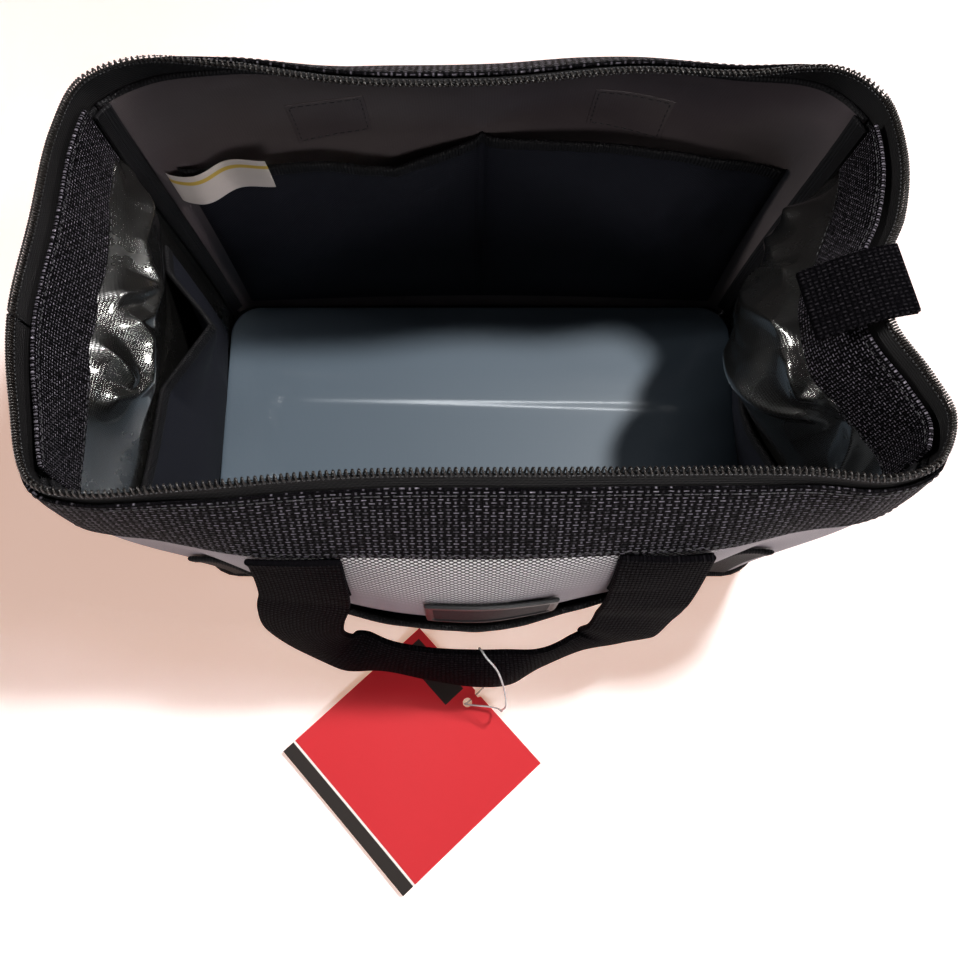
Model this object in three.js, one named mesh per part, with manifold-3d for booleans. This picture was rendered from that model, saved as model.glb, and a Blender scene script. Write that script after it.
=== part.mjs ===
// An open, soft-sided zippered tool bag that stands on its stiffened base.
// X runs along the bag to the right, Y to the back and Z up, in millimetres.
// The origin is the centre of the base's underside.
import * as THREE from "three";
import { mergeVertices } from "three/addons/utils/BufferGeometryUtils.js";
import Module from "manifold-3d";

// Overall sizes
const BASE_LENGTH = 305;
const BASE_DEPTH = 165;
const BASE_CORNER = 20;
const HEIGHT = 203;
const MOUTH_LENGTH = 352;
const MOUTH_DEPTH = 184;
const MOUTH_CENTRE = new THREE.Vector2(-2.5, 1);
const END_DIP = 3; // how far the rim sinks at the middle of each end
const GAP = 0.3; // between pieces that touch
const LIE = 0.7; // between a curved wall and what lies on it

// Sag of the walls: how far each profile's two handles lie off the straight line from base to rim,
// outwards at the corners and in the middle of each side, in the order front, right, back, left
const CORNER_PULL = 6;
const PULL_LOW = [42, -12, 34, -12];
const PULL_HIGH = [46, -42, 74, -16];
const SAG_SHARPNESS = 1.5; // how soon the sag fades towards the corners
const LOW_REACH = 70; // height of the lower handle above the base
const HIGH_REACH = 70; // depth of the upper handle below the rim

// Fabric and webbing
const WALL = 3.2;
const WEBBING = 1.8;
const BAND_WIDTH = 38;
const BAND_DROP = 8; // from the teeth's edge down to the band
const TAPE = 1.0;
const TAPE_SHOWS = 4.3; // height of the teeth above the tape
const BASE_THICKNESS = 2.5;
const BOARD_THICKNESS = 3;
const FLOOR_THICKNESS = 1;
const SEAM_WIDTH = 11;
const SEAM_THICKNESS = 2.2;
const SEAM_STOPS = 8; // how far above the walls' foot the bound seams end
const STRIP_SIDES = [0.07, 0.93]; // where the strips inside the ends start and stop, as shares of the end
const BINDING_HEIGHT = 2.4;
const BINDING_THICKNESS = 3.2;
const POCKET_CLOTH = 1.4;
const POCKET_FOOT = 9; // how far above the walls' foot the pockets' cloth ends
const BAND_FOOT = BAND_DROP + BAND_WIDTH;
const INNER_WIDE_TOP = BAND_FOOT + 20; // the tops of the pockets, all down from the rim
const INNER_END_TOP = BAND_FOOT + 28;
const OUTER_WIDE_TOP = BAND_FOOT + 62;
const OUTER_END_TOP = BAND_FOOT + 32;

// Zip
const TOOTH_PITCH = 4;
const TOOTH_NOTCH = 1.9;
const TEETH_THICKNESS = 2.4;
const ROOT_SHARE = 0.7; // a tooth's thickness at its root against its tip
const CHAIN_WIDTH = 7;
const CLOSED_RUN = 42;
const CLOSED_TAPE_WIDTH = 24;
const RUN_TOP_DOWN = 16; // the run's top end below the rim, and its ends' distances off the wall
const RUN_TOP_OUT = 3.6;
const RUN_FOOT_OUT = 3.4;
const TAIL = 8; // plain tape below the last tooth, under the stop tab
const TEETH_BEVEL = 0.6;
const VALLEY_SHARE = 0.72; // the closed teeth's height between two ridges
const STOP_WIDTH = CLOSED_TAPE_WIDTH + 4;
const STOP_HEIGHT = 12;
const SLIDER_LENGTH = 15;
const SLIDER_SHOULDER = 14;
const SLIDER_FOOT = 11;
const SLIDER_PLATE = 1.2;
const SLIDER_ROOM = 3.4; // clear height between the plates
const SLIDER_ROUND = 2.5; // of its shoulders
const WEDGE_WIDTH = 3; // of the post between the throats, at its back
const THROAT_WALL = 1.4;
const CROWN_REACH = 3.1;
const CROWN_WIDTH = 2.8;
const CROWN_WALL = 1.1;
const CROWN_RISE = 1.9; // of the bar's axis above the front plate
const BAR_RADIUS = 0.7;
const PULL_LENGTH = 30;
const PULL_WIDTH = 8;
const PULL_THICKNESS = 1.4;

// Handles
const HANDLE_SPREAD = 146; // between the middles of the two legs
const HANDLE_WIDTH = 38;
const HANDLE_THICKNESS = 2.6;
const HANDLE_DROP = Math.round(0.517 * HEIGHT); // how far the grip hangs below the pivot
const HANDLE_REACH = 33; // how far the grip hangs out from the pivot
const HANDLE_PIVOT_DOWN = BAND_FOOT + 6; // from the rim along the wall
const FOOT_LENGTH = 30;
const PIVOT_CLEARANCE = 0.9; // between a foot and the strap that starts above it

// Hang tag
const TAG_SIDE = 96;
const TAG_THICKNESS = 0.8;
const TAG_LIFT = 1.6;
const TAG_CENTRE = new THREE.Vector2(-36, -181);
const TAG_TURN = -47.5;
const TAG_HOLE = 5;
const TAG_HOLE_INSET = 7.4;
const TAG_HOLE_ALONG = -1;
const LOOP_DIAMETER = 1.0;

// Small pieces on the walls
const TAB_LENGTH = 36;
const TAB_WIDTH = 36;
const TAB_SKEW = 0.2; // sideways for each millimetre inwards
const BADGE_WIDTH = 58;
const BADGE_HEIGHT = 30;
const BADGE_DOWN = BAND_FOOT + 16;
const BADGE_X = 5;
const BADGE_THICKNESS = 1.6;
const LABEL_DOWN = BAND_FOOT + 16;
const LABEL_HEIGHT = 50;
const LABEL_SIDES = [0.918, 0.965];
const LABEL_THICKNESS = 0.7;

// The mouth's outline seen from above, as shares of half its length and depth, from its centre.
// Each side starts at its corner seam, and the sides follow each other anticlockwise.
const RIM_SHAPE = [
  [[-0.903, -0.946], [-0.805, -1], [-0.587, -0.967], [-0.272, -0.913], [0.186, -0.902], [0.673, -0.902],
    [0.857, -0.935]],
  [[0.954, -0.87], [1, -0.674], [0.966, -0.489], [0.905, -0.27], [0.9, -0.1], [0.915, 0.05], [0.954, 0.217],
    [0.977, 0.511]],
  [[0.943, 0.804], [0.851, 0.946], [0.616, 0.913], [0.37, 0.924], [0.043, 0.859], [-0.301, 0.87],
    [-0.587, 0.967], [-0.788, 1]],
  [[-0.908, 0.891], [-0.96, 0.641], [-0.983, 0.207], [-1, -0.228], [-0.966, -0.609]],
];
const RIM_PINCH = [1, 4]; // side and point where the zip ends, on the right
const RIM_PARTING = [3, 3]; // side and point where the slider stands, on the left
const FRONT = 0;
const RIGHT = 1;
const BACK = 2;
const LEFT = 3;

const wasm = await Module();
wasm.setup();

const bag = new THREE.Group();
bag.name = "tool_bag";

const lerp = THREE.MathUtils.lerp;
const valueOf = (value, ...args) => (typeof value === "function" ? value(...args) : value);

function finish(color, roughness, metalness = 0) {
  return () => new THREE.MeshStandardMaterial({ color, roughness, metalness });
}

const finishes = {
  grey: finish(0x70767c, 0.85),
  black: finish(0x1a1a1c, 0.8),
  webbing: finish(0x202022, 0.75),
  lining: finish(0x3a3632, 0.45),
  vinyl: finish(0x66707a, 0.4),
  coil: finish(0x2a2624, 0.4),
  metal: finish(0x3b3d40, 0.35, 0.9),
  board: finish(0x4a4a4a, 0.7),
  rubber: finish(0x26282b, 0.6),
  white: finish(0xe8e8e4, 0.7),
  red: finish(0xc3202a, 0.5),
  nylon: finish(0xe6e9ec, 0.3),
};

function add(name, geometry, makeMaterial, parent = bag) {
  geometry.computeVertexNormals();
  const mesh = new THREE.Mesh(geometry, makeMaterial());
  mesh.name = name;
  parent.add(mesh);
  return mesh;
}

// The rim: a smooth closed line, measured along its length, whose sides start at the corner seams
const rimPoints = RIM_SHAPE.flat().map(
  ([x, y]) =>
    new THREE.Vector3(
      MOUTH_CENTRE.x + (x * MOUTH_LENGTH) / 2,
      MOUTH_CENTRE.y + (y * MOUTH_DEPTH) / 2,
      0,
    ),
);
const rimLine = new THREE.CatmullRomCurve3(rimPoints, true, "centripetal");
const RIM_SAMPLES = 20;
rimLine.arcLengthDivisions = rimPoints.length * RIM_SAMPLES;
const rimLengths = rimLine.getLengths();
const rimLength = rimLengths.at(-1);

function shareOfPoint(side, point) {
  const before = RIM_SHAPE.slice(0, side).reduce((sum, points) => sum + points.length, 0);
  return rimLengths[(before + point) * RIM_SAMPLES] / rimLength;
}

const rimCorners = [0, 1, 2, 3, 4].map((side) => shareOfPoint(side, 0));
const sideLength = (side) => (rimCorners[side + 1] - rimCorners[side]) * rimLength;

// A station runs from 0 to 4 once round the bag: its whole part is the side, the rest the place on it
function splitStation(station) {
  const turn = ((station % 4) + 4) % 4;
  const side = Math.floor(turn);
  return { side, share: turn - side };
}

function stationOf([side, point]) {
  const place = shareOfPoint(side, point);
  return side + (place - rimCorners[side]) / (rimCorners[side + 1] - rimCorners[side]);
}

function rimAt(station) {
  const { side, share } = splitStation(station);
  const place = lerp(rimCorners[side], rimCorners[side + 1], share);
  const point = rimLine.getPointAt(place);
  const across = 2 * share - 1;
  const dip = side === RIGHT || side === LEFT ? END_DIP * (1 - across * across) : 0;
  point.z = HEIGHT - dip;
  return point;
}

// The base outline starts in the middle of the front left corner's arc, as the stations do
function roundedOutline(length, depth, radius) {
  const x = length / 2 - radius;
  const y = depth / 2 - radius;
  const outline = new THREE.Shape();
  outline.absarc(-x, -y, radius, 1.25 * Math.PI, 1.5 * Math.PI);
  outline.absarc(x, -y, radius, 1.5 * Math.PI, 2 * Math.PI);
  outline.absarc(x, y, radius, 0, 0.5 * Math.PI);
  outline.absarc(-x, y, radius, 0.5 * Math.PI, Math.PI);
  outline.absarc(-x, -y, radius, Math.PI, 1.25 * Math.PI);
  return outline;
}

const baseOutline = roundedOutline(BASE_LENGTH, BASE_DEPTH, BASE_CORNER);
const cornerArc = (Math.PI * BASE_CORNER) / 2;
const baseSides = [0, 1, 2, 3].map(
  (side) => (side % 2 ? BASE_DEPTH : BASE_LENGTH) - 2 * BASE_CORNER + cornerArc,
);
const baseLength = baseSides.reduce((sum, side) => sum + side, 0);
const wallFoot = BASE_THICKNESS + 2 * GAP;

function footAt(station) {
  const { side, share } = splitStation(station);
  const before = baseSides.slice(0, side).reduce((sum, length) => sum + length, 0);
  const point = baseOutline.getPoint((before + share * baseSides[side]) / baseLength);
  return new THREE.Vector3(point.x, point.y, wallFoot);
}

// How far a profile's handle is pulled off the straight line, at a station
function pullAt(station, pulls) {
  const { side, share } = splitStation(station);
  const across = 2 * share - 1;
  const out = lerp(CORNER_PULL, pulls[side], (1 - across * across) ** SAG_SHARPNESS);
  const along = CORNER_PULL * across;
  const turn = side * (Math.PI / 2);
  const pull = new THREE.Vector3(along, -out, 0);
  return pull.applyAxisAngle(new THREE.Vector3(0, 0, 1), turn);
}

const profiles = new Map();

function profileAt(station) {
  const key = station.toFixed(6);
  if (!profiles.has(key)) {
    const foot = footAt(station);
    const rim = rimAt(station);
    const low = foot.clone().add(pullAt(station, PULL_LOW));
    const high = rim.clone().add(pullAt(station, PULL_HIGH));
    low.z += LOW_REACH;
    high.z -= HIGH_REACH;
    profiles.set(key, new THREE.CubicBezierCurve3(foot, low, high, rim));
  }
  return profiles.get(key);
}

const slantAt = (station) => profileAt(station).getLength();

// A place on the wall's outer face: station round the bag and distance down from the rim
function faceAt(station, down) {
  const profile = profileAt(station);
  const slant = profile.getLength();
  const share = THREE.MathUtils.clamp(1 - down / slant, 0, 1);
  const past = 1 - down / slant - share;
  const point = profile.getPointAt(share);
  return past ? point.addScaledVector(profile.getTangentAt(share), past * slant) : point;
}

function smoothFrame(station, down) {
  const along = faceAt(station + 0.004, down).sub(faceAt(station - 0.004, down)).normalize();
  const up = faceAt(station, down - 0.6).sub(faceAt(station, down + 0.6)).normalize();
  const out = along.clone().cross(up).normalize();
  return { along: up.clone().cross(out), up, out };
}

// The wall is faceted on these lines, closer together at the corners, and every piece on it keeps to
// the same facets, so that pieces lie on each other with an even gap
const SIDE_STEPS = [20, 10, 20, 10];
const CORNER_CROWDING = 0.5;
const PANEL_TOP = BAND_DROP + 10.5;
const UPPER_LINES = [-12, 0, BAND_DROP, PANEL_TOP, BAND_DROP + BAND_WIDTH];
const LOWER_ROWS = 6;
const LAST_LINE = UPPER_LINES.length - 1 + LOWER_ROWS;
const LINE_CLEARANCE = 2; // no line nearer than this to a piece's own edge

const sideLines = SIDE_STEPS.map((steps) =>
  Array.from({ length: steps + 1 }, (_, i) => {
    const share = i / steps;
    return share - (CORNER_CROWDING * Math.sin(2 * Math.PI * share)) / (2 * Math.PI);
  }),
);

function lineDown(station, line) {
  if (line > LAST_LINE) return slantAt(station) + 12;
  const lower = Math.max(0, line - UPPER_LINES.length + 1);
  return lower ? lerp(UPPER_LINES.at(-1), slantAt(station), lower / LOWER_ROWS) : UPPER_LINES[line];
}

const nodes = new Map();

function nodeAt(station, line) {
  const key = station.toFixed(6) + "/" + line;
  if (!nodes.has(key)) {
    const down = lineDown(station, line);
    nodes.set(key, { down, place: faceAt(station, down), out: smoothFrame(station, down).out });
  }
  return nodes.get(key);
}

function onLine(station, down, out) {
  let line = 1;
  while (line <= LAST_LINE && nodeAt(station, line).down < down) line++;
  const above = nodeAt(station, line - 1);
  const below = nodeAt(station, line);
  const share = (down - above.down) / (below.down - above.down);
  const normal = above.out.clone().lerp(below.out, share);
  return above.place.clone().lerp(below.place, share).addScaledVector(normal, out);
}

// A place off the wall: station round the bag, distance down from the rim and distance out
function wallAt(station, down, out) {
  const { side, share } = splitStation(station);
  const lines = sideLines[side];
  let i = 1;
  while (i < lines.length - 1 && lines[i] < share) i++;
  const between = (share - lines[i - 1]) / (lines[i] - lines[i - 1]);
  const before = onLine(side + lines[i - 1], down, out);
  return before.lerp(onLine(side + lines[i], down, out), between);
}

// The station a length away from another, measured along the rim
const stationAlong = (station, length) => station + length / sideLength(splitStation(station).side);

// The station on a side where the wall stands at a given X, at a distance down from the rim
function stationAtX(side, x, down) {
  let low = side + 0.02;
  let high = side + 0.98;
  const rising = faceAt(high, down).x > faceAt(low, down).x;
  for (let i = 0; i < 40; i++) {
    const middle = (low + high) / 2;
    if (faceAt(middle, down).x < x === rising) low = middle;
    else high = middle;
  }
  return (low + high) / 2;
}

function stationLines([from, to]) {
  const lines = [from];
  for (let side = Math.floor(from); side < to; side++) {
    const { side: turned } = splitStation(side);
    const clear = LINE_CLEARANCE / sideLength(turned);
    sideLines[turned].slice(0, -1).forEach((share) => {
      if (side + share > from + clear && side + share < to - clear) lines.push(side + share);
    });
  }
  return [...lines, to];
}

// The lines that every station of a piece has between its top and its foot
function linesBetween(stations, top, foot) {
  const all = Array.from({ length: LAST_LINE + 1 }, (_, line) => line);
  return all.filter((line) =>
    stations.every((station) => {
      const down = lineDown(station, line);
      return down > top + LINE_CLEARANCE && down < valueOf(foot, station) - LINE_CLEARANCE;
    }),
  );
}

// A block's far face is split into triangles along the same diagonals as its near face, so that the
// facets of two neighbours match
const FAR_FACE = 5;

function splitAlike(block) {
  const { start, count } = block.groups.find((group) => group.materialIndex === FAR_FACE);
  for (let i = start; i < start + count; i += 6) {
    const [a, b, d, , c] = block.index.array.slice(i, i + 6);
    block.index.array.set([a, b, c, a, c, d], i);
  }
  return block;
}

// A block bent onto the wall: stations, distances down and distances out, each a pair of values.
// The lower distance down may be a function of the station, and the distances out functions of the
// shares round and down the block.
function wrapped(stations, downs, outs) {
  const across = stationLines(stations);
  const inner = linesBetween(across, downs[0], downs[1]);
  const block = new THREE.BoxGeometry(1, 1, 1, across.length - 1, inner.length + 1, 1);
  const place = block.attributes.position;
  for (let i = 0; i < place.count; i++) {
    const station = across[Math.round((place.getX(i) + 0.5) * (across.length - 1))];
    const foot = valueOf(downs[1], station);
    const downAll = [downs[0], ...inner.map((line) => lineDown(station, line)), foot];
    const down = downAll[Math.round((0.5 - place.getY(i)) * (inner.length + 1))];
    const round = (station - stations[0]) / (stations[1] - stations[0]);
    const fall = (down - downs[0]) / (foot - downs[0]);
    const depth = place.getZ(i) + 0.5;
    const out = lerp(valueOf(outs[0], round, fall), valueOf(outs[1], round, fall), depth);
    place.setXYZ(i, ...wallAt(station, down, out).toArray());
  }
  return splitAlike(block);
}

// A row of teeth along the rim: a bar whose height and thickness swell and shrink once a tooth
function toothRow(stations, middle) {
  const length = (stations[1] - stations[0]) * (rimLength / 4);
  const teeth = Math.round(length / TOOTH_PITCH);
  const row = new THREE.BoxGeometry(1, 1, 1, 2 * teeth, 1, 1);
  const place = row.attributes.position;
  for (let i = 0; i < place.count; i++) {
    const share = place.getX(i) + 0.5;
    const isTip = Math.round(share * 2 * teeth) % 2 === 1;
    const top = isTip ? 0 : TOOTH_NOTCH;
    const down = lerp(TAPE_SHOWS, top, place.getY(i) + 0.5);
    const thickness = TEETH_THICKNESS * (isTip ? 1 : ROOT_SHARE);
    const out = middle + place.getZ(i) * thickness;
    place.setXYZ(i, ...wallAt(lerp(stations[0], stations[1], share), down, out).toArray());
  }
  return row;
}

// A block bent along a curve, its width kept near a direction given for each share of the length
function strap(curve, width, thickness, steps, acrossAt) {
  const block = new THREE.BoxGeometry(1, 1, 1, steps, 1, 1);
  const place = block.attributes.position;
  for (let i = 0; i < place.count; i++) {
    const share = place.getX(i) + 0.5;
    const tangent = curve.getTangentAt(share);
    const across = acrossAt(share);
    across.addScaledVector(tangent, -across.dot(tangent)).normalize();
    const out = tangent.clone().cross(across);
    const point = curve.getPointAt(share);
    point.addScaledVector(across, place.getY(i) * width);
    point.addScaledVector(out, place.getZ(i) * thickness);
    place.setXYZ(i, ...point.toArray());
  }
  return block;
}

// A group at the place that a moving piece turns or slides about
function pivotAt(name, place, parent = bag) {
  const group = new THREE.Group();
  group.name = name;
  bag.add(group);
  group.position.copy(place);
  group.updateMatrixWorld(true);
  parent.attach(group);
  return group;
}

function extruded(shape, depth, curveSegments = 4) {
  return new THREE.ExtrudeGeometry(shape, { depth, bevelEnabled: false, curveSegments });
}

function solidOf(geometry) {
  const bare = geometry.clone();
  bare.deleteAttribute("normal");
  bare.deleteAttribute("uv");
  const merged = mergeVertices(bare, 1e-4);
  return new wasm.Manifold(
    new wasm.Mesh({
      numProp: 3,
      vertProperties: merged.attributes.position.array,
      triVerts: new Uint32Array(merged.index.array),
    }),
  );
}

function geometryOf(solid) {
  const mesh = solid.getMesh();
  const geometry = new THREE.BufferGeometry();
  geometry.setAttribute("position", new THREE.BufferAttribute(mesh.vertProperties, 3));
  geometry.setIndex(new THREE.BufferAttribute(mesh.triVerts, 1));
  return geometry.toNonIndexed();
}

function blockAt(width, height, depth, x, y, z) {
  return new THREE.BoxGeometry(width, height, depth).translate(x, y, z);
}

// Shell panels, one to a side, meeting at the corner seams
const SEAM_SHARE = 0.002; // of a side, left free at each corner
const PANELS = ["front_panel", "right_end_panel", "back_panel", "left_end_panel"];
PANELS.forEach((name, side) => {
  const wide = side % 2 === 0;
  const geometry = wrapped(
    [side + SEAM_SHARE, side + 1 - SEAM_SHARE],
    [PANEL_TOP, slantAt],
    [-WALL, 0],
  );
  add(name, geometry, wide ? finishes.grey : finishes.black);
});

// Base: outer cloth, stiff board and the lining that covers the board
const liningInset = WALL + 2;
add("base_panel", extruded(baseOutline, BASE_THICKNESS, 6), finishes.black);
const boardShape = roundedOutline(
  BASE_LENGTH - 2 * liningInset,
  BASE_DEPTH - 2 * liningInset,
  BASE_CORNER - liningInset / 2,
);
const board = add("base_board", extruded(boardShape, BOARD_THICKNESS), finishes.board);
board.position.z = BASE_THICKNESS + GAP;
const floorLining = add("floor_lining", extruded(boardShape, FLOOR_THICKNESS), finishes.vinyl);
floorLining.position.z = board.position.z + BOARD_THICKNESS + GAP;

// The zip parts at the left end and ends in the pinch of the right end
const parting = stationOf(RIM_PARTING);
const pinch = stationOf(RIM_PINCH);
const halves = [
  { name: "front", from: parting - 4, to: pinch },
  { name: "back", from: pinch, to: parting },
];
const runClear = STOP_WIDTH / 2 + 2;

halves.forEach((half) => {
  const startGap = half.name === "front" ? runClear : GAP;
  const endGap = half.name === "front" ? GAP : runClear;
  const band = [stationAlong(half.from, startGap), stationAlong(half.to, -endGap)];
  const chain = [stationAlong(half.from, 2 * GAP), stationAlong(half.to, -2 * GAP)];
  const tapeOut = [-TAPE - GAP, -GAP];
  const chainMiddle = (tapeOut[0] + tapeOut[1]) / 2;
  add(
    half.name + "_band",
    wrapped(band, [BAND_DROP, BAND_DROP + BAND_WIDTH], [GAP, GAP + WEBBING]),
    finishes.webbing,
  );
  add(
    half.name + "_zip_tape",
    wrapped(chain, [TAPE_SHOWS + GAP, PANEL_TOP - GAP], tapeOut),
    finishes.black,
  );
  add(half.name + "_zip_teeth", toothRow(chain, chainMiddle), finishes.coil);
});

// Webbing along the inside of each end, below the tape
const insideFace = -WALL - LIE;
const STRIP_TOP = BAND_DROP + 1;
[["right_end_strip", RIGHT], ["left_end_strip", LEFT]].forEach(([name, side]) => {
  const strip = wrapped(
    STRIP_SIDES.map((share) => side + share),
    [STRIP_TOP, STRIP_TOP + BAND_WIDTH],
    [insideFace - WEBBING, insideFace],
  );
  add(name, strip, finishes.webbing);
});

// Bound seams inside the four corners
const seamShare = (side) => SEAM_WIDTH / 2 / sideLength(side % 4);
const SEAMS = ["front_left_seam", "front_right_seam", "back_right_seam", "back_left_seam"];
SEAMS.forEach((name, corner) => {
  const seam = wrapped(
    [corner - seamShare((corner + 3) % 4), corner + seamShare(corner)],
    [PANEL_TOP, (station) => slantAt(station) - SEAM_STOPS],
    [insideFace - SEAM_THICKNESS, insideFace],
  );
  add(name, seam, finishes.webbing);
});

// Pockets: cloth that lies on the wall along its sides and foot and stands off it at the mouth
function lobes({ lobes: count, fullness }, round, fall) {
  const wave = Math.abs(Math.sin(count * Math.PI * round));
  return wave ** fullness * (1 - fall ** 4);
}

const INNER_POCKETS = [
  {
    name: "front_inner_pocket", side: FRONT, top: INNER_WIDE_TOP,
    sides: [0.09, 0.91], puff: 16, lobes: 2, fullness: 0.5,
  },
  {
    name: "right_inner_pocket", side: RIGHT, top: INNER_END_TOP,
    sides: [0.14, 0.86], puff: 14, lobes: 1, fullness: 0.5,
  },
  {
    name: "back_inner_pocket", side: BACK, top: INNER_WIDE_TOP,
    sides: [0.09, 0.91], puff: 16, lobes: 2, fullness: 0.5,
  },
  {
    name: "left_inner_pocket", side: LEFT, top: INNER_END_TOP,
    sides: [0.14, 0.86], puff: 14, lobes: 1, fullness: 0.5,
  },
];
const OUTER_POCKETS = [
  {
    name: "front_outer_pocket", side: FRONT, top: OUTER_WIDE_TOP,
    sides: [0.05, 0.95], puff: 7.5, lobes: 1, fullness: 1,
  },
  {
    name: "right_outer_pocket", side: RIGHT, top: OUTER_END_TOP,
    sides: [0.08, 0.92], puff: 15, lobes: 1, fullness: 0.5,
  },
  {
    name: "back_outer_pocket", side: BACK, top: OUTER_WIDE_TOP,
    sides: [0.05, 0.95], puff: 8.5, lobes: 1, fullness: 1,
  },
  {
    name: "left_outer_pocket", side: LEFT, top: OUTER_END_TOP,
    sides: [0.08, 0.92], puff: 15, lobes: 1, fullness: 0.5,
  },
];

function addPocket(pocket, base, direction) {
  const stations = pocket.sides.map((share) => pocket.side + share);
  const standOff = (round, fall) => pocket.puff * lobes(pocket, round, fall);
  const near = (round, fall) => base + direction * standOff(round, fall);
  const far = (round, fall) => near(round, fall) + direction * POCKET_CLOTH;
  const outs = direction > 0 ? [near, far] : [far, near];
  const foot = (station) => slantAt(station) - POCKET_FOOT;
  const cloth = wrapped(stations, [pocket.top, foot], outs);
  add(pocket.name, cloth, direction > 0 ? finishes.black : finishes.lining);
  const spare = (BINDING_THICKNESS - POCKET_CLOTH) / 2;
  const edge = (shift) => (round) => near(round, 0) + direction * shift;
  const edges = [edge(-Math.min(spare, GAP * 0.5)), edge(BINDING_THICKNESS - GAP)];
  const binding = wrapped(
    stations,
    [pocket.top - GAP - BINDING_HEIGHT, pocket.top - GAP],
    direction > 0 ? edges : [edges[1], edges[0]],
  );
  add(pocket.name + "_binding", binding, finishes.webbing);
}

INNER_POCKETS.forEach((pocket) => addPocket(pocket, insideFace, -1));
OUTER_POCKETS.forEach((pocket) => addPocket(pocket, LIE, 1));

// Handles: two webbing loops, each sewn at two feet just under the band
const pivots = {};
const HANDLE_ROUTE = [
  [0, 0, 0],
  [0, 0.1, 0.04],
  [1, 0.46, 0.28],
  [3, 0.76, 0.52],
  [12, 0.91, 0.77],
  [30, 0.97, 0.95],
  [55, 1, 1],
]; // along each leg: millimetres in from its foot, shares of the reach and of the drop

[["front", FRONT, -1], ["back", BACK, 1]].forEach(([name, side, outwards]) => {
  const half = HANDLE_WIDTH / 2 / sideLength(side);
  const standOff = LIE + WEBBING + PIVOT_CLEARANCE + HANDLE_THICKNESS / 2;
  const ends = [-1, 1].flatMap((hand) => {
    const station = stationAtX(side, (hand * HANDLE_SPREAD) / 2, HANDLE_PIVOT_DOWN);
    const footTop = HANDLE_PIVOT_DOWN - 2;
    const foot = wrapped(
      [station - half, station + half],
      [footTop, footTop + FOOT_LENGTH],
      [LIE, LIE + WEBBING],
    );
    add(`${name}_handle_${hand < 0 ? "left" : "right"}_foot`, foot, finishes.webbing);
    return [-half, 0, half].map((across) => wallAt(station + across, HANDLE_PIVOT_DOWN, standOff));
  });
  const pivotHeight = ends.reduce((sum, end) => sum + end.z, 0) / ends.length;
  const pivotOut = Math.max(...ends.map((end) => outwards * end.y));
  const pivotPlace = new THREE.Vector3(0, outwards * pivotOut, pivotHeight);
  pivots[name] = pivotAt(name + "_handle_pivot", pivotPlace);
  const leg = (hand) => ([inwards, reach, drop]) =>
    new THREE.Vector3(
      hand * (HANDLE_SPREAD / 2 - inwards),
      outwards * reach * HANDLE_REACH,
      -drop * HANDLE_DROP,
    );
  const points = [...HANDLE_ROUTE.map(leg(-1)), ...HANDLE_ROUTE.toReversed().map(leg(1))];
  const curve = new THREE.CatmullRomCurve3(points, false, "centripetal");
  const gripAcross = new THREE.Vector3(0, 0.5, -outwards * 0.87);
  const acrossAt = (share) => {
    const turned = THREE.MathUtils.smoothstep(Math.min(share, 1 - share), 0.12, 0.4);
    const legAcross = new THREE.Vector3((share < 0.5 ? -1 : 1) * outwards, 0, 0);
    return legAcross.lerp(gripAcross, turned);
  };
  const handle = strap(curve, HANDLE_WIDTH, HANDLE_THICKNESS, 36, acrossAt);
  add(name + "_handle", handle, finishes.webbing, pivots[name]);
});

// Left end: the short closed stretch of zip below the slider, straight from the rim down
const runTop = wallAt(parting, RUN_TOP_DOWN, RUN_TOP_OUT);
const runFoot = wallAt(parting, RUN_TOP_DOWN + CLOSED_RUN, RUN_FOOT_OUT);
const runUp = runTop.clone().sub(runFoot).normalize();
const runAlong = smoothFrame(parting, 20).along;
runAlong.addScaledVector(runUp, -runAlong.dot(runUp)).normalize();
const runOut = runAlong.clone().cross(runUp);
const runLack = [0.25, 0.5, 0.75, 1, 1.08].flatMap((share) =>
  [-0.5, 0, 0.5].map((hand) => {
    const across = hand * CLOSED_TAPE_WIDTH;
    const clear = GAP + (hand ? TAPE : TEETH_THICKNESS) / 2;
    const wallPoint = wallAt(stationAlong(parting, across), RUN_TOP_DOWN + share * CLOSED_RUN, clear);
    const runPoint = runTop.clone().lerp(runFoot, share).addScaledVector(runAlong, across);
    return wallPoint.sub(runPoint).dot(runOut);
  }),
); // how far the run would sink into a wall that swells more than the straight run allows
runTop.addScaledVector(runOut, Math.max(0, ...runLack));
const run = new THREE.Group();
run.name = "zip_run";
run.quaternion.setFromRotationMatrix(new THREE.Matrix4().makeBasis(runAlong, runUp, runOut));
run.position.copy(runTop);
run.updateMatrixWorld(true);
bag.add(run);

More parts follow.
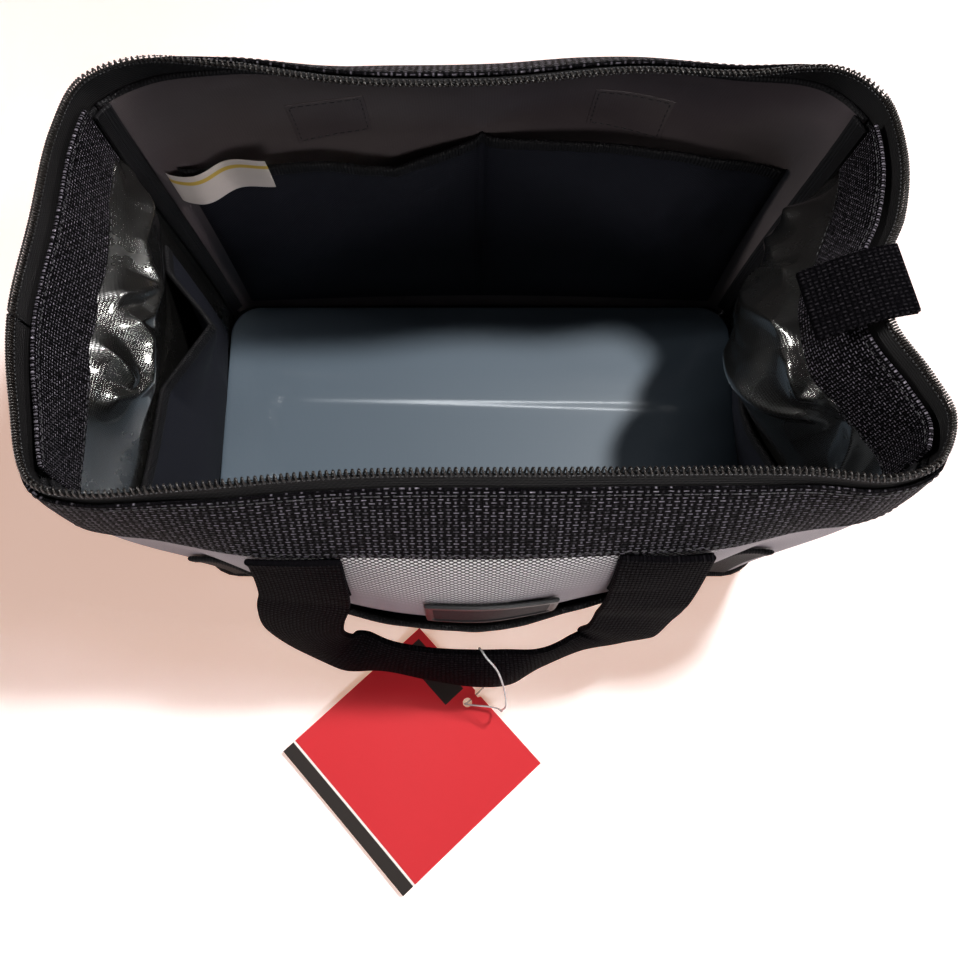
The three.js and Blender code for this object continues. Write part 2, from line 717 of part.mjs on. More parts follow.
function closedRun() {
  const half = CHAIN_WIDTH / 2;
  const crest = half - TEETH_BEVEL;
  const flat = CLOSED_TAPE_WIDTH / 2;
  const ridge = TEETH_THICKNESS / 2;
  const section = new THREE.Shape(
    [
      [-flat, -TAPE / 2], [-half, -TAPE / 2], [-crest, -ridge], [crest, -ridge],
      [half, -TAPE / 2], [flat, -TAPE / 2], [flat, TAPE / 2], [half, TAPE / 2],
      [crest, ridge], [-crest, ridge], [-half, TAPE / 2], [-flat, TAPE / 2],
    ].map(([x, y]) => new THREE.Vector2(x, y)),
  );
  const toothed = CLOSED_RUN - TAIL;
  const ridges = Math.round(toothed / TOOTH_PITCH) * 2;
  const chain = new THREE.ExtrudeGeometry(section, {
    depth: toothed,
    steps: ridges * 2,
    bevelEnabled: false,
  });
  const place = chain.attributes.position;
  for (let i = 0; i < place.count; i++) {
    const isValley = Math.round((place.getZ(i) / toothed) * ridges * 2) % 2 === 1;
    const isRidge = Math.abs(place.getY(i)) > TAPE / 2 + 0.01;
    if (isValley && isRidge) place.setY(i, place.getY(i) * VALLEY_SHARE);
  }
  const tail = blockAt(CLOSED_TAPE_WIDTH, TAPE, TAIL + 1, 0, 0, -TAIL / 2 + 0.5);
  const whole = solidOf(chain).add(solidOf(tail));
  return geometryOf(whole).rotateX(-Math.PI / 2).translate(0, -CLOSED_RUN + TAIL - 2, 0);
}
add("zip_closed_run", closedRun(), finishes.coil, run);
const stopTab = blockAt(
  STOP_WIDTH, STOP_HEIGHT, WEBBING,
  0, -CLOSED_RUN - 1, TAPE / 2 + GAP + WEBBING / 2,
);
add("zip_bottom_stop", stopTab, finishes.webbing, run);

// Slider: two plates joined by a wedge between the throats, with side walls that leave room for the tape
const plateOutside = SLIDER_ROOM / 2 + SLIDER_PLATE;

function sliderBody() {
  const shoulder = SLIDER_SHOULDER / 2;
  const foot = SLIDER_FOOT / 2;
  const top = SLIDER_LENGTH / 2;
  const outline = new THREE.Shape();
  outline.moveTo(-foot + 1, -top);
  outline.lineTo(foot - 1, -top);
  outline.quadraticCurveTo(foot, -top, foot, -top + 1.5);
  outline.lineTo(foot, 0);
  outline.quadraticCurveTo(foot + 0.3, 2, shoulder, top - SLIDER_ROUND);
  outline.quadraticCurveTo(shoulder, top, shoulder - SLIDER_ROUND, top);
  outline.lineTo(-shoulder + SLIDER_ROUND, top);
  outline.quadraticCurveTo(-shoulder, top, -shoulder, top - SLIDER_ROUND);
  outline.quadraticCurveTo(-foot - 0.3, 2, -foot, 0);
  outline.lineTo(-foot, -top + 1.5);
  outline.quadraticCurveTo(-foot, -top, -foot + 1, -top);
  const block = solidOf(extruded(outline, 2 * plateOutside).translate(0, 0, -plateOutside));
  const channelHalf = CHAIN_WIDTH / 2 + 0.5;
  const throat = shoulder - THROAT_WALL;
  const post = WEDGE_WIDTH / 2;
  const channel = new THREE.Shape(
    [
      [-channelHalf, -top - 1], [channelHalf, -top - 1], [channelHalf, 0], [throat, top + 1],
      [post - 0.3, top + 1], [post, top - 2], [0, 1], [-post, top - 2], [0.3 - post, top + 1],
      [-throat, top + 1], [-channelHalf, 0],
    ].map(([x, y]) => new THREE.Vector2(x, y)),
  );
  const throats = solidOf(extruded(channel, SLIDER_ROOM).translate(0, 0, -SLIDER_ROOM / 2));
  const slotHeight = TAPE + 2 * GAP;
  const slotWidth = SLIDER_SHOULDER - CHAIN_WIDTH;
  const slots = [-1, 1].map((hand) => {
    const middle = hand * (channelHalf - 0.2 + slotWidth / 2);
    return solidOf(blockAt(slotWidth, SLIDER_LENGTH + 2, slotHeight, middle, 0, 0));
  });
  const crownOuter = new THREE.Shape();
  crownOuter.absarc(0, CROWN_RISE, CROWN_REACH, 0, Math.PI);
  crownOuter.lineTo(-CROWN_REACH, -0.2);
  crownOuter.lineTo(CROWN_REACH, -0.2);
  const crownInner = new THREE.Path();
  const eye = CROWN_REACH - CROWN_WALL;
  crownInner.absarc(0, CROWN_RISE, eye, Math.PI, 0, true);
  crownInner.lineTo(eye, 0.02);
  crownInner.lineTo(-eye, 0.02);
  crownOuter.holes.push(crownInner);
  const crown = extruded(crownOuter, CROWN_WIDTH, 6)
    .translate(0, 0, -CROWN_WIDTH / 2)
    .rotateX(Math.PI / 2)
    .rotateZ(Math.PI / 2)
    .translate(0, 0, plateOutside);
  const body = block.subtract(throats).subtract(slots[0]).subtract(slots[1]);
  return geometryOf(body.add(solidOf(crown)));
}
const slider = new THREE.Group();
slider.name = "slider_place";
run.add(slider);
add("zip_slider", sliderBody(), finishes.metal, slider);

// Pull: a plate with a window, whose top bar turns inside the crown; it hangs plumb
function pullPlate() {
  const half = PULL_WIDTH / 2;
  const outline = new THREE.Shape();
  outline.moveTo(-half + 1.5, BAR_RADIUS);
  outline.lineTo(half - 1.5, BAR_RADIUS);
  outline.quadraticCurveTo(half - 0.6, BAR_RADIUS, half - 0.6, -1);
  outline.lineTo(half, -PULL_LENGTH + 5);
  outline.quadraticCurveTo(half, -PULL_LENGTH, 0, -PULL_LENGTH);
  outline.quadraticCurveTo(-half, -PULL_LENGTH, -half, -PULL_LENGTH + 5);
  outline.lineTo(-half + 0.6, -1);
  outline.quadraticCurveTo(-half + 0.6, BAR_RADIUS, -half + 1.5, BAR_RADIUS);
  const window = new THREE.Path();
  const windowHalf = CROWN_WIDTH / 2 + 0.6;
  window.moveTo(-windowHalf, -BAR_RADIUS);
  window.lineTo(-windowHalf, -CROWN_REACH - 0.6);
  window.lineTo(windowHalf, -CROWN_REACH - 0.6);
  window.lineTo(windowHalf, -BAR_RADIUS);
  outline.holes.push(window);
  return extruded(outline, PULL_THICKNESS, 5).translate(0, 0, -PULL_THICKNESS / 2);
}
const pullPivot = new THREE.Vector3(0, 0, plateOutside + CROWN_RISE).applyMatrix4(run.matrixWorld);
const plumb = new THREE.Vector3(0, 0, 1);
const pullOut = runAlong.clone().cross(plumb).normalize();
const pullAcross = plumb.clone().cross(pullOut);
const pull = pivotAt("pull_pivot", pullPivot);
pull.quaternion.setFromRotationMatrix(new THREE.Matrix4().makeBasis(pullAcross, plumb, pullOut));
pull.updateMatrixWorld(true);
slider.attach(pull);
add("slider_pull", pullPlate(), finishes.metal, pull);

// Right end: a tab of webbing folded over the two tape ends, lying inwards over the mouth
const tabMiddle = wallAt(pinch, 0, 0);
const tabPoints = [
  [5, 3.5],
  [-4, 3.6],
  [-16, 0.2],
  [5 - TAB_LENGTH, -7],
].map(([out, rise]) => tabMiddle.clone().add(new THREE.Vector3(out, out * TAB_SKEW, rise)));
const tabCurve = new THREE.CatmullRomCurve3(tabPoints, false, "centripetal");
const tabAcross = () => new THREE.Vector3(TAB_SKEW, -1, 0);
add("zip_end_tab", strap(tabCurve, TAB_WIDTH, 2 * WEBBING, 8, tabAcross), finishes.webbing);

// Badge on the front panel, between the band and the outer pocket
const badgeMiddle = stationAtX(FRONT, BADGE_X, BADGE_DOWN);
const badgeHalf = BADGE_WIDTH / 2 / sideLength(FRONT);
const badge = wrapped(
  [badgeMiddle - badgeHalf, badgeMiddle + badgeHalf],
  [BADGE_DOWN, BADGE_DOWN + BADGE_HEIGHT],
  [LIE, LIE + BADGE_THICKNESS],
);
add("front_badge", badge, finishes.rubber);

// Blank sewn-in label at the left of the back wall's inside, above and beside the pocket
const label = wrapped(
  LABEL_SIDES.map((share) => BACK + share),
  [LABEL_DOWN, LABEL_DOWN + LABEL_HEIGHT],
  [insideFace - LABEL_THICKNESS, insideFace],
);
add("sewn_label", label, finishes.white);

// Hang tag on the floor in front, and the nylon loop that ties it to the front handle's grip
const tagGroup = new THREE.Group();
tagGroup.name = "tag_place";
tagGroup.position.set(TAG_CENTRE.x, TAG_CENTRE.y, TAG_LIFT);
tagGroup.rotation.z = THREE.MathUtils.degToRad(TAG_TURN);
bag.add(tagGroup);
const tagShape = new THREE.Shape();
const tagHalf = TAG_SIDE / 2;
tagShape.moveTo(-tagHalf, -tagHalf);
tagShape.lineTo(tagHalf, -tagHalf);
tagShape.lineTo(tagHalf, tagHalf);
tagShape.lineTo(-tagHalf, tagHalf);
const holeCentre = new THREE.Vector2(TAG_HOLE_ALONG, tagHalf - TAG_HOLE_INSET);
const tagHole = new THREE.Path();
tagHole.absarc(holeCentre.x, holeCentre.y, TAG_HOLE / 2, 0, 2 * Math.PI, true);
tagShape.holes.push(tagHole);
add("hang_tag", extruded(tagShape, TAG_THICKNESS), finishes.red, tagGroup);

tagGroup.updateMatrixWorld(true);
const hole = new THREE.Vector3(holeCentre.x, holeCentre.y, 0).applyMatrix4(tagGroup.matrixWorld);
const edgeOut = new THREE.Vector3(0, 1, 0).applyAxisAngle(new THREE.Vector3(0, 0, 1), tagGroup.rotation.z);
const grip = pivots.front.position.clone().add(new THREE.Vector3(0, -HANDLE_REACH, -HANDLE_DROP));
const gripPivot = pivotAt("tag_pivot", grip, pivots.front);
gripPivot.attach(tagGroup);
const gripOffset = (x, y, z) => grip.clone().add(new THREE.Vector3(x, y, z));
const below = (x, y, share) => gripOffset(x, y, 0).setZ(share * grip.z);
const past = (along, z) => hole.clone().addScaledVector(edgeOut, along).setZ(z);
const loopPoints = [
  below(11, -17, 0.43),
  below(7, -15, 0.67),
  gripOffset(3, -9, -4),
  gripOffset(0, 2.5, 12),
  gripOffset(-1, 8.5, 18.2),
  gripOffset(-1, 12.4, 16.2),
  gripOffset(0, 9.5, 4),
  below(1, 5, 0.6),
  past(TAG_HOLE_INSET + 4, 12),
  past(TAG_HOLE_INSET + 3, 3),
  past(TAG_HOLE_INSET, 0.8),
  past(2.5, 0.8),
  past(0, TAG_LIFT + 0.6),
  past(-1.5, 7),
  below(8, -15, 0.23),
  below(11.3, -17.3, 0.41),
];
const loopLine = new THREE.CatmullRomCurve3(loopPoints, false, "centripetal");
const loopSection = new THREE.Shape();
loopSection.absarc(0, 0, LOOP_DIAMETER / 2, 0, 2 * Math.PI);
const loop = new THREE.ExtrudeGeometry(loopSection, {
  steps: 44,
  extrudePath: loopLine,
  curveSegments: 5,
  bevelEnabled: false,
});
add("tag_loop", loop.translate(-grip.x, -grip.y, -grip.z), finishes.nylon, gripPivot);

export default bag;
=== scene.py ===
"""The looks of an open, zippered tool bag: cloth, webbing, coil zip, pockets, handles and hang tag."""

import math

import bmesh
import bpy
import numpy as np
from bpy.props import FloatProperty, FloatVectorProperty, PointerProperty
from mathutils import Matrix, Vector, noise


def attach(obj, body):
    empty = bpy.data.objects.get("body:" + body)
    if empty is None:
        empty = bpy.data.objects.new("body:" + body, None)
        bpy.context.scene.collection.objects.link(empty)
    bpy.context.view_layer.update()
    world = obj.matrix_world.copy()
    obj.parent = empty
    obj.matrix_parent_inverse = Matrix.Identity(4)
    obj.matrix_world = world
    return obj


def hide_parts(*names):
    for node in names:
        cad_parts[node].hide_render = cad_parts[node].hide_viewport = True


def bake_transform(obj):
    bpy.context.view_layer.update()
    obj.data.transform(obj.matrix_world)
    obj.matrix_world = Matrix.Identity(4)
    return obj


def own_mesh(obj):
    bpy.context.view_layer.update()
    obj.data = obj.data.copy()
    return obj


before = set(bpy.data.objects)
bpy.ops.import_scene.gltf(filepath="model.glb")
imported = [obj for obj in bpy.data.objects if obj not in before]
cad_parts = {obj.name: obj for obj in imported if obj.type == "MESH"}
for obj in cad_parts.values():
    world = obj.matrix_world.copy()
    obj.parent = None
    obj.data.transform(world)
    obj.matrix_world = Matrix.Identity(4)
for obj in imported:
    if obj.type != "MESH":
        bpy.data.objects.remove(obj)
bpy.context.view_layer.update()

bl_info = {
    "name": "Tool bag looks",
    "version": (1, 0, 0),
    "blender": (4, 5, 0),
    "location": "View3D > Sidebar > Tool bag",
    "description": "Builds the cloth, webbing and zip of an open tool bag round its packed frame",
    "category": "Object",
}

FRONT, RIGHT, BACK, LEFT = range(4)

# The mouth's outline seen from above, as shares of half its length and depth, side by side from the
# front left corner seam, anticlockwise
RIM_SHAPE = (
    ((-0.903, -0.946), (-0.805, -1), (-0.587, -0.967), (-0.272, -0.913), (0.186, -0.902),
     (0.673, -0.902), (0.857, -0.935)),
    ((0.954, -0.87), (1, -0.674), (0.966, -0.489), (0.905, -0.27), (0.9, -0.1), (0.915, 0.05),
     (0.954, 0.217), (0.977, 0.511)),
    ((0.943, 0.804), (0.851, 0.946), (0.616, 0.913), (0.37, 0.924), (0.043, 0.859),
     (-0.301, 0.87), (-0.587, 0.967), (-0.788, 1)),
    ((-0.908, 0.891), (-0.96, 0.641), (-0.983, 0.207), (-1, -0.228), (-0.966, -0.609)),
)
RIM_PINCH = (1, 4)
RIM_PARTING = (3, 3)

# How much further than its even sag a long wall stands out, low down and high up, at places along it
SLUMP_PLACES = (0, 0.1, 0.22, 0.36, 0.5, 0.64, 0.78, 0.9, 1)
LOW_SLUMPS = {FRONT: (0, -0.017, -0.0057, 0.0077, 0.011, -0.0084, -0.0232, -0.0268, 0)}
HIGH_SLUMPS = {
    FRONT: (0, 0.0005, 0.0114, 0.0059, 0.0041, 0.009, 0.0211, 0.0073, 0),
    BACK: (0, 0.014, 0.012, 0.004, 0, 0.004, 0.008, 0.006, 0),
}


def length_property(name, text, value):
    return FloatProperty(name=name, description=text, default=value, unit="LENGTH", precision=4)


def power_property(name, text, value):
    return FloatProperty(name=name, description=text, default=value, unit="POWER")


def side_lengths_property(name, text, values):
    """A length for each side: front, right, back, left."""
    return FloatVectorProperty(
        name=name, description=text, default=values, size=4, unit="LENGTH", precision=4
    )


def colour_property(name, text, value):
    return FloatVectorProperty(
        name=name, description=text, default=value, size=3, min=0, max=1, subtype="COLOR"
    )


class BagShape(bpy.types.PropertyGroup):
    """Overall sizes of the sewn shell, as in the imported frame."""

    base_length: length_property("Base length", "Length of the stiff base", 0.305)
    base_depth: length_property("Base depth", "Depth of the stiff base", 0.165)
    base_corner: length_property("Base corner", "Radius of the base's corners", 0.020)
    height: length_property("Height", "Height of the rim above the floor", 0.203)
    mouth_length: length_property("Mouth length", "Length of the open mouth", 0.352)
    mouth_depth: length_property("Mouth depth", "Depth of the open mouth", 0.184)
    end_dip: length_property("End dip", "How far the rim sinks at the ends", 0.003)
    corner_pull: length_property("Corner pull", "Pull of the corners outwards", 0.006)
    low_pulls: side_lengths_property(
        "Low pulls", "Pull of each wall outwards, low down", (0.042, -0.012, 0.034, -0.012)
    )
    high_pulls: side_lengths_property(
        "High pulls", "Pull of each wall, below the rim", (0.046, -0.042, 0.074, -0.016)
    )
    sag_sharpness: FloatProperty(
        name="Sag", description="How soon the sag fades", default=1.5, min=0.5, max=3
    )
    reach: length_property("Reach", "Height over which each pull works", 0.070)
    back_roll: length_property("Back roll", "How much nearer the rim the back is pulled", 0.020)
    wall: length_property("Wall", "Thickness of the padded wall", 0.0032)


class TrimSizes(bpy.types.PropertyGroup):
    """Sizes of the webbing, the zip, the handles and the tag."""

    webbing: length_property("Webbing", "Thickness of the webbing", 0.0018)
    band_width: length_property("Band width", "Width of the webbing round the mouth", 0.038)
    band_drop: length_property("Band drop", "From the teeth's edge down to the band", 0.008)
    tape_shows: length_property("Teeth height", "Height of the coil above the tape", 0.0043)
    panel_top: length_property("Panel top", "From the teeth's edge down to the cloth", 0.0185)
    coil_pitch: length_property("Coil pitch", "One turn of the coil along the tape", 0.00175)
    coil_wire: length_property("Coil wire", "Radius of the coil's filament", 0.00043)
    handle_width: length_property("Handle width", "Width of the handle webbing", 0.038)
    handle_spread: length_property("Handle spread", "Between the legs' middles", 0.146)
    handle_drop: length_property("Handle drop", "How far the grip hangs down", 0.105)
    handle_reach: length_property("Handle reach", "How far the grip hangs out", 0.033)
    weave_pitch: length_property("Cloth weave", "Spacing of the cloth's threads", 0.0009)
    rib_pitch: length_property("Webbing ribs", "Spacing of the webbing's threads", 0.0021)
    stitch: length_property("Stitch", "Length of one stitch", 0.0028)


class Colours(bpy.types.PropertyGroup):
    """Base colours of the finishes."""

    grey_cloth: colour_property("Grey cloth", "Outside of the long walls", (0.40, 0.42, 0.485))
    black_cloth: colour_property("Black cloth", "Pockets, ends and base", (0.006, 0.006, 0.0075))
    webbing: colour_property("Webbing", "Bands, strips and handles", (0.0025, 0.0023, 0.003))
    tape: colour_property("Zip tape", "Smooth tape of the zip", (0.006, 0.0055, 0.006))
    coil: colour_property("Zip coil", "Nylon coil", (0.012, 0.0095, 0.0085))
    black_vinyl: colour_property("Black vinyl", "Coated inside of the ends", (0.007, 0.0068, 0.0065))
    # The back's lining is the front's coated lining, coloured darker: painted shade of the back wall's
    # inside
    painted_shade_lining: colour_property("Dark lining", "Coated inside of the back", (0.096, 0.079, 0.080))
    pale_lining: colour_property("Pale lining", "Coated inside of the front", (0.30, 0.32, 0.34))
    floor_vinyl: colour_property("Floor vinyl", "Coated lining on the base", (0.116, 0.154, 0.196))
    metal: colour_property("Slider metal", "Slider and pull", (0.05, 0.05, 0.055))
    rubber: colour_property("Badge rubber", "Bare patch on the front", (0.010, 0.010, 0.012))
    label: colour_property("Label", "Blank sewn-in label", (0.66, 0.59, 0.56))
    label_stripe: colour_property("Label stripe", "Plain stripe on the label", (0.62, 0.42, 0.07))
    tag_red: colour_property("Tag red", "Face of the hang tag", (0.62, 0.020, 0.028))
    tag_black: colour_property("Tag black", "Stripe and block of the tag", (0.020, 0.014, 0.012))
    nylon: colour_property("Nylon", "Loop of the tag", (0.75, 0.77, 0.78))
    floor: colour_property("Floor", "Surface that the bag stands on", (0.86, 0.88, 0.94))
    shade: colour_property("Shade", "Floor colour that stays in the bag's shadow", (0.46, 0.245, 0.15))


class Studio(bpy.types.PropertyGroup):
    """Light and camera."""

    key: power_property("Key light", "Power of the main lamp", 22)
    fill: power_property("Strip light", "Power of the long lamp", 1.3)
    front: power_property("Front light", "Power of the low front lamp", 4.5)
    side: power_property("Side light", "Power of each side lamp", 0.30)
    sky: FloatProperty(name="Sky", description="Strength of the even light", default=0.04, min=0)
    lens: FloatProperty(name="Lens", description="Focal length in millimetres", default=36, min=1)
    camera_height: length_property("Camera height", "Height of the camera", 0.53)
    camera_back: length_property("Camera back", "How far the camera stands to the front", 0.18)
    camera_tilt: FloatProperty(
        name="Camera tilt",
        description="Angle off straight down",
        default=math.radians(16),
        subtype="ANGLE",
    )


def shape_sizes():
    return bpy.context.scene.bag_shape


def trim_sizes():
    return bpy.context.scene.bag_trim


def colours():
    return bpy.context.scene.bag_colours


# How far the bands lie off the cloth, and how far the pockets and the handles' feet do
GAP = 0.0003
LIE = 0.0007

# The middle of the mouth's outline, the walls' lower edge, and the samples between two rim points
RIM_MIDDLE = (-0.0025, 0.001)
FOOT_HEIGHT = 0.0031
RIM_SAMPLES = 20


def unit_rows(table):
    return table / np.linalg.norm(table, axis=1)[:, None]


def through(points, share):
    """Places on a centripetal line between the second and the third of four rows of points."""
    p0, p1, p2, p3 = points
    spans = (p1 - p0, p2 - p1, p3 - p2)
    d0, d1, d2 = (np.linalg.norm(span, axis=1)[:, None] ** 0.5 for span in spans)
    leave = ((p1 - p0) / d0 - (p2 - p0) / (d0 + d1) + (p2 - p1) / d1) * d1
    arrive = ((p2 - p1) / d1 - (p3 - p1) / (d1 + d2) + (p3 - p2) / d2) * d1
    return (
        p1
        + leave * share
        + (3 * (p2 - p1) - 2 * leave - arrive) * share**2
        + (2 * (p1 - p2) + leave + arrive) * share**3
    )


def lengths_along(line):
    """How far each point of a line is along it."""
    return np.concatenate([[0], np.cumsum(np.linalg.norm(np.diff(line, axis=0), axis=1))])


def turned_to_side(side, x, y, z):
    """Turns places that are given for the front to each one's own side."""
    cos, sin = np.cos(side * math.pi / 2), np.sin(side * math.pi / 2)
    return np.column_stack([cos * x - sin * y, sin * x + cos * y, np.full(len(side), float(z))])


class Wall:
    """The shell's outer face. A station runs from 0 to 4 once round; a distance down starts at the rim."""

    columns = 300
    rows = 120

    def __init__(self, size):
        self.size = size
        self.read_rim()
        station = np.arange(4 * self.columns) / self.columns
        rim, foot = self.rim_at(station), self.foot_at(station)
        low = foot + self.pull_at(station, size.low_pulls, LOW_SLUMPS)
        high = rim + self.pull_at(station, size.high_pulls, HIGH_SLUMPS)
        low[:, 2] += size.reach
        side, share = self.split(station)
        rolled = np.where(side == BACK, size.back_roll, 0)
        high[:, 2] -= size.reach - rolled * smoothstep(0, 0.2, np.minimum(share, 1 - share))
        step = np.linspace(0, 1, 4 * self.rows + 1)[None, :, None]
        line = (
            (1 - step) ** 3 * foot[:, None]
            + 3 * (1 - step) ** 2 * step * low[:, None]
            + 3 * (1 - step) * step**2 * high[:, None]
            + step**3 * rim[:, None]
        )
        spans = np.linalg.norm(np.diff(line, axis=1), axis=2)
        along = np.concatenate([np.zeros((len(line), 1)), np.cumsum(spans, axis=1)], axis=1)
        self.slants = along[:, -1]
        shares = np.linspace(0, 1, self.rows + 1)
        self.places = np.stack(
            [
                np.stack([np.interp(shares * a[-1], a, p[:, k]) for k in range(3)], axis=1)
                for a, p in zip(along, line)
            ]
        )
        round_it = np.roll(self.places, -2, axis=0) - np.roll(self.places, 2, axis=0)
        rising = np.gradient(self.places, axis=1)
        self.ups = rising / np.linalg.norm(rising, axis=2, keepdims=True)
        out = np.cross(round_it, rising)
        self.outs = out / np.linalg.norm(out, axis=2, keepdims=True)

    def read_rim(self):
        """Samples the closed rim line evenly and notes where each side starts on it."""
        size = self.size
        flat = [p for side in RIM_SHAPE for p in side]
        self.rim_points = RIM_MIDDLE + np.array(flat) * (size.mouth_length / 2, size.mouth_depth / 2)
        self.rim_steps = np.arange(len(flat) * RIM_SAMPLES + 1) / RIM_SAMPLES
        self.rim_lengths = lengths_along(self.spline(self.rim_steps))
        self.rim_length = self.rim_lengths[-1]
        self.starts = np.cumsum([0] + [len(side) for side in RIM_SHAPE])
        self.corners = self.rim_lengths[self.starts * RIM_SAMPLES]

    def spline(self, step):
        """The centripetal line through the rim's points, at steps counted in points."""
        count = len(self.rim_points)
        first = np.floor(step).astype(int)
        nearest = [self.rim_points[(first + k) % count] for k in (-1, 0, 1, 2)]
        return through(nearest, (step - first)[:, None])

    def split(self, station):
        turn = np.mod(station, 4)
        side = np.minimum(np.floor(turn).astype(int), 3)
        return side, turn - side

    def side_length(self, side):
        return self.corners[side % 4 + 1] - self.corners[side % 4]

    def station_of(self, side, point):
        place = np.interp(self.starts[side] + point, self.rim_steps, self.rim_lengths)
        return side + (place - self.corners[side]) / self.side_length(side)

    def along(self, station, length):
        """The station a length further along the rim."""
        return station + length / self.side_length(int(math.floor(station % 4)))

    def rim_at(self, station):
        side, share = self.split(station)
        length = self.corners[side] + share * (self.corners[side + 1] - self.corners[side])
        flat = self.spline(np.interp(length, self.rim_lengths, self.rim_steps))
        dip = np.where(side % 2 == 1, self.size.end_dip * (1 - (2 * share - 1) ** 2), 0)
        return np.column_stack([flat, self.size.height - dip])

    def foot_at(self, station):
        size = self.size
        radius = size.base_corner
        x, y = size.base_length / 2 - radius, size.base_depth / 2 - radius
        quarter = math.pi * radius / 2
        side, share = self.split(station)
        straight = np.where(side % 2 == 1, 2 * y, 2 * x)
        place = share * (straight + quarter)
        first = place < quarter / 2
        last = place > straight + quarter / 2
        turn = np.where(first, place / radius - math.pi / 4, 0)
        turn = np.where(last, (place - straight - quarter / 2) / radius, turn)
        middle = np.clip(place - quarter / 2, 0, straight) - straight / 2
        depth = np.where(side % 2 == 1, x, y)
        local_x = middle + radius * np.sin(turn)
        local_y = -depth - radius * np.cos(turn)
        return turned_to_side(side, local_x, local_y, FOOT_HEIGHT)

    def pull_at(self, station, pulls, slumps):
        size = self.size
        side, share = self.split(station)
        across = 2 * share - 1
        middle = (1 - across**2) ** size.sag_sharpness
        out = size.corner_pull + (np.array(pulls)[side] - size.corner_pull) * middle
        fine = np.linspace(0, 1, 121)
        soft = np.hanning(13) / np.hanning(13).sum()
        for slumped, further in slumps.items():
            padded = np.pad(np.interp(fine, SLUMP_PLACES, further), 6, mode="edge")
            shaped = np.convolve(padded, soft, "valid")
            out = out + np.where(side == slumped, np.interp(share, fine, shaped), 0)
        return turned_to_side(side, size.corner_pull * across, -out, 0)

    def slant_at(self, station):
        turn = np.mod(station, 4) * self.columns
        first = np.floor(turn).astype(int) % len(self.slants)
        share = turn - np.floor(turn)
        return self.slants[first] * (1 - share) + self.slants[(first + 1) % len(self.slants)] * share

    def frame_at(self, station, down):
        """Places on the face with the directions up the wall and out of it, for arrays of both."""
        station, down = np.broadcast_arrays(np.asarray(station, float), np.asarray(down, float))
        turn = np.mod(station, 4) * self.columns
        i = np.floor(turn).astype(int) % len(self.slants)
        f = (turn - np.floor(turn))[:, None]
        j = (i + 1) % len(self.slants)
        slant = self.slant_at(station)
        share = 1 - down / slant
        inside = np.clip(share, 0, 1) * self.rows
        k = np.minimum(inside.astype(int), self.rows - 1)
        g = (inside - k)[:, None]

        def read(table):
            before = table[i, k] * (1 - g) + table[i, k + 1] * g
            after = table[j, k] * (1 - g) + table[j, k + 1] * g
            return before * (1 - f) + after * f

        up = read(self.ups)
        out = read(self.outs)
        past = (share - np.clip(share, 0, 1)) * slant
        place = read(self.places) + up * past[:, None]
        return place, unit_rows(up), unit_rows(out)

    def at(self, station, down, out=0.0):
        place, _, normal = self.frame_at(station, down)
        return place + normal * np.broadcast_to(out, len(place))[:, None]

    def station_at_x(self, side, x, down):
        stations = side + np.linspace(0.02, 0.98, 400)
        xs = self.at(stations, np.full(400, down))[:, 0]
        order = np.argsort(xs)
        return float(np.interp(x, xs[order], stations[order]))


def rough(points, scale, seed=0.0):
    """Smooth noise from -1 to 1 at each point, for sizes of about one over scale."""
    shift = Vector((seed * 13.7, seed * 7.3, seed * 3.1))
    return np.array([noise.noise(Vector(p) * scale + shift) for p in points])


def smoothstep(low, high, value):
    share = np.clip((value - low) / (high - low), 0, 1)
    return share * share * (3 - 2 * share)


def hill(low, high_from, high_to, low_again, value):
    """1 between the middle places, fading to 0 at the outer ones."""
    return smoothstep(low, high_from, value) * (1 - smoothstep(high_to, low_again, value))


def bump_at(value, middle, width):
    return np.exp(-(((value - middle) / width) ** 2))


def new_object(name, mesh, *materials):
    for material in materials:
        mesh.materials.append(material)
    piece = bpy.data.objects.new(name, mesh)
    bpy.context.scene.collection.objects.link(piece)
    return piece


def write_uv(mesh, coordinates):
    """Lays the piece's own flat coordinates, in metres, on its corners."""
    corners = np.zeros(len(mesh.loops), np.int32)
    mesh.loops.foreach_get("vertex_index", corners)
    layer = mesh.uv_layers.new(name="Flat")
    layer.data.foreach_set("uv", np.asarray(coordinates, np.float32)[corners].ravel())


def mesh_from(work, name, coordinates=None, smooth=True):
    """Ends a bmesh: writes it to a mesh with smooth faces and its flat coordinates."""
    mesh = bpy.data.meshes.new(name)
    work.to_mesh(mesh)
    work.free()
    if coordinates is not None:
        write_uv(mesh, coordinates)
    if smooth:
        mesh.shade_smooth()
    return mesh


def count_from_edge(piece, height):
    """Counts the flat coordinates across a piece from 0 at its upper edge."""
    layer = piece.data.uv_layers["Flat"].data
    tops = {}
    for corner in layer:
        key = round(corner.uv.x, 6)
        tops[key] = min(tops.get(key, math.inf), corner.uv.y)
    for corner in layer:
        corner.uv.y = min(height, corner.uv.y - tops[round(corner.uv.x, 6)])


def raise_copy(work, height):
    """Closes a flat grid into a body by a copy of its faces above it."""
    made = bmesh.ops.extrude_face_region(work, geom=list(work.faces), use_keep_orig=True)
    moved = [v for v in made["geom"] if isinstance(v, bmesh.types.BMVert)]
    bmesh.ops.translate(work, vec=(0, 0, height), verts=moved)


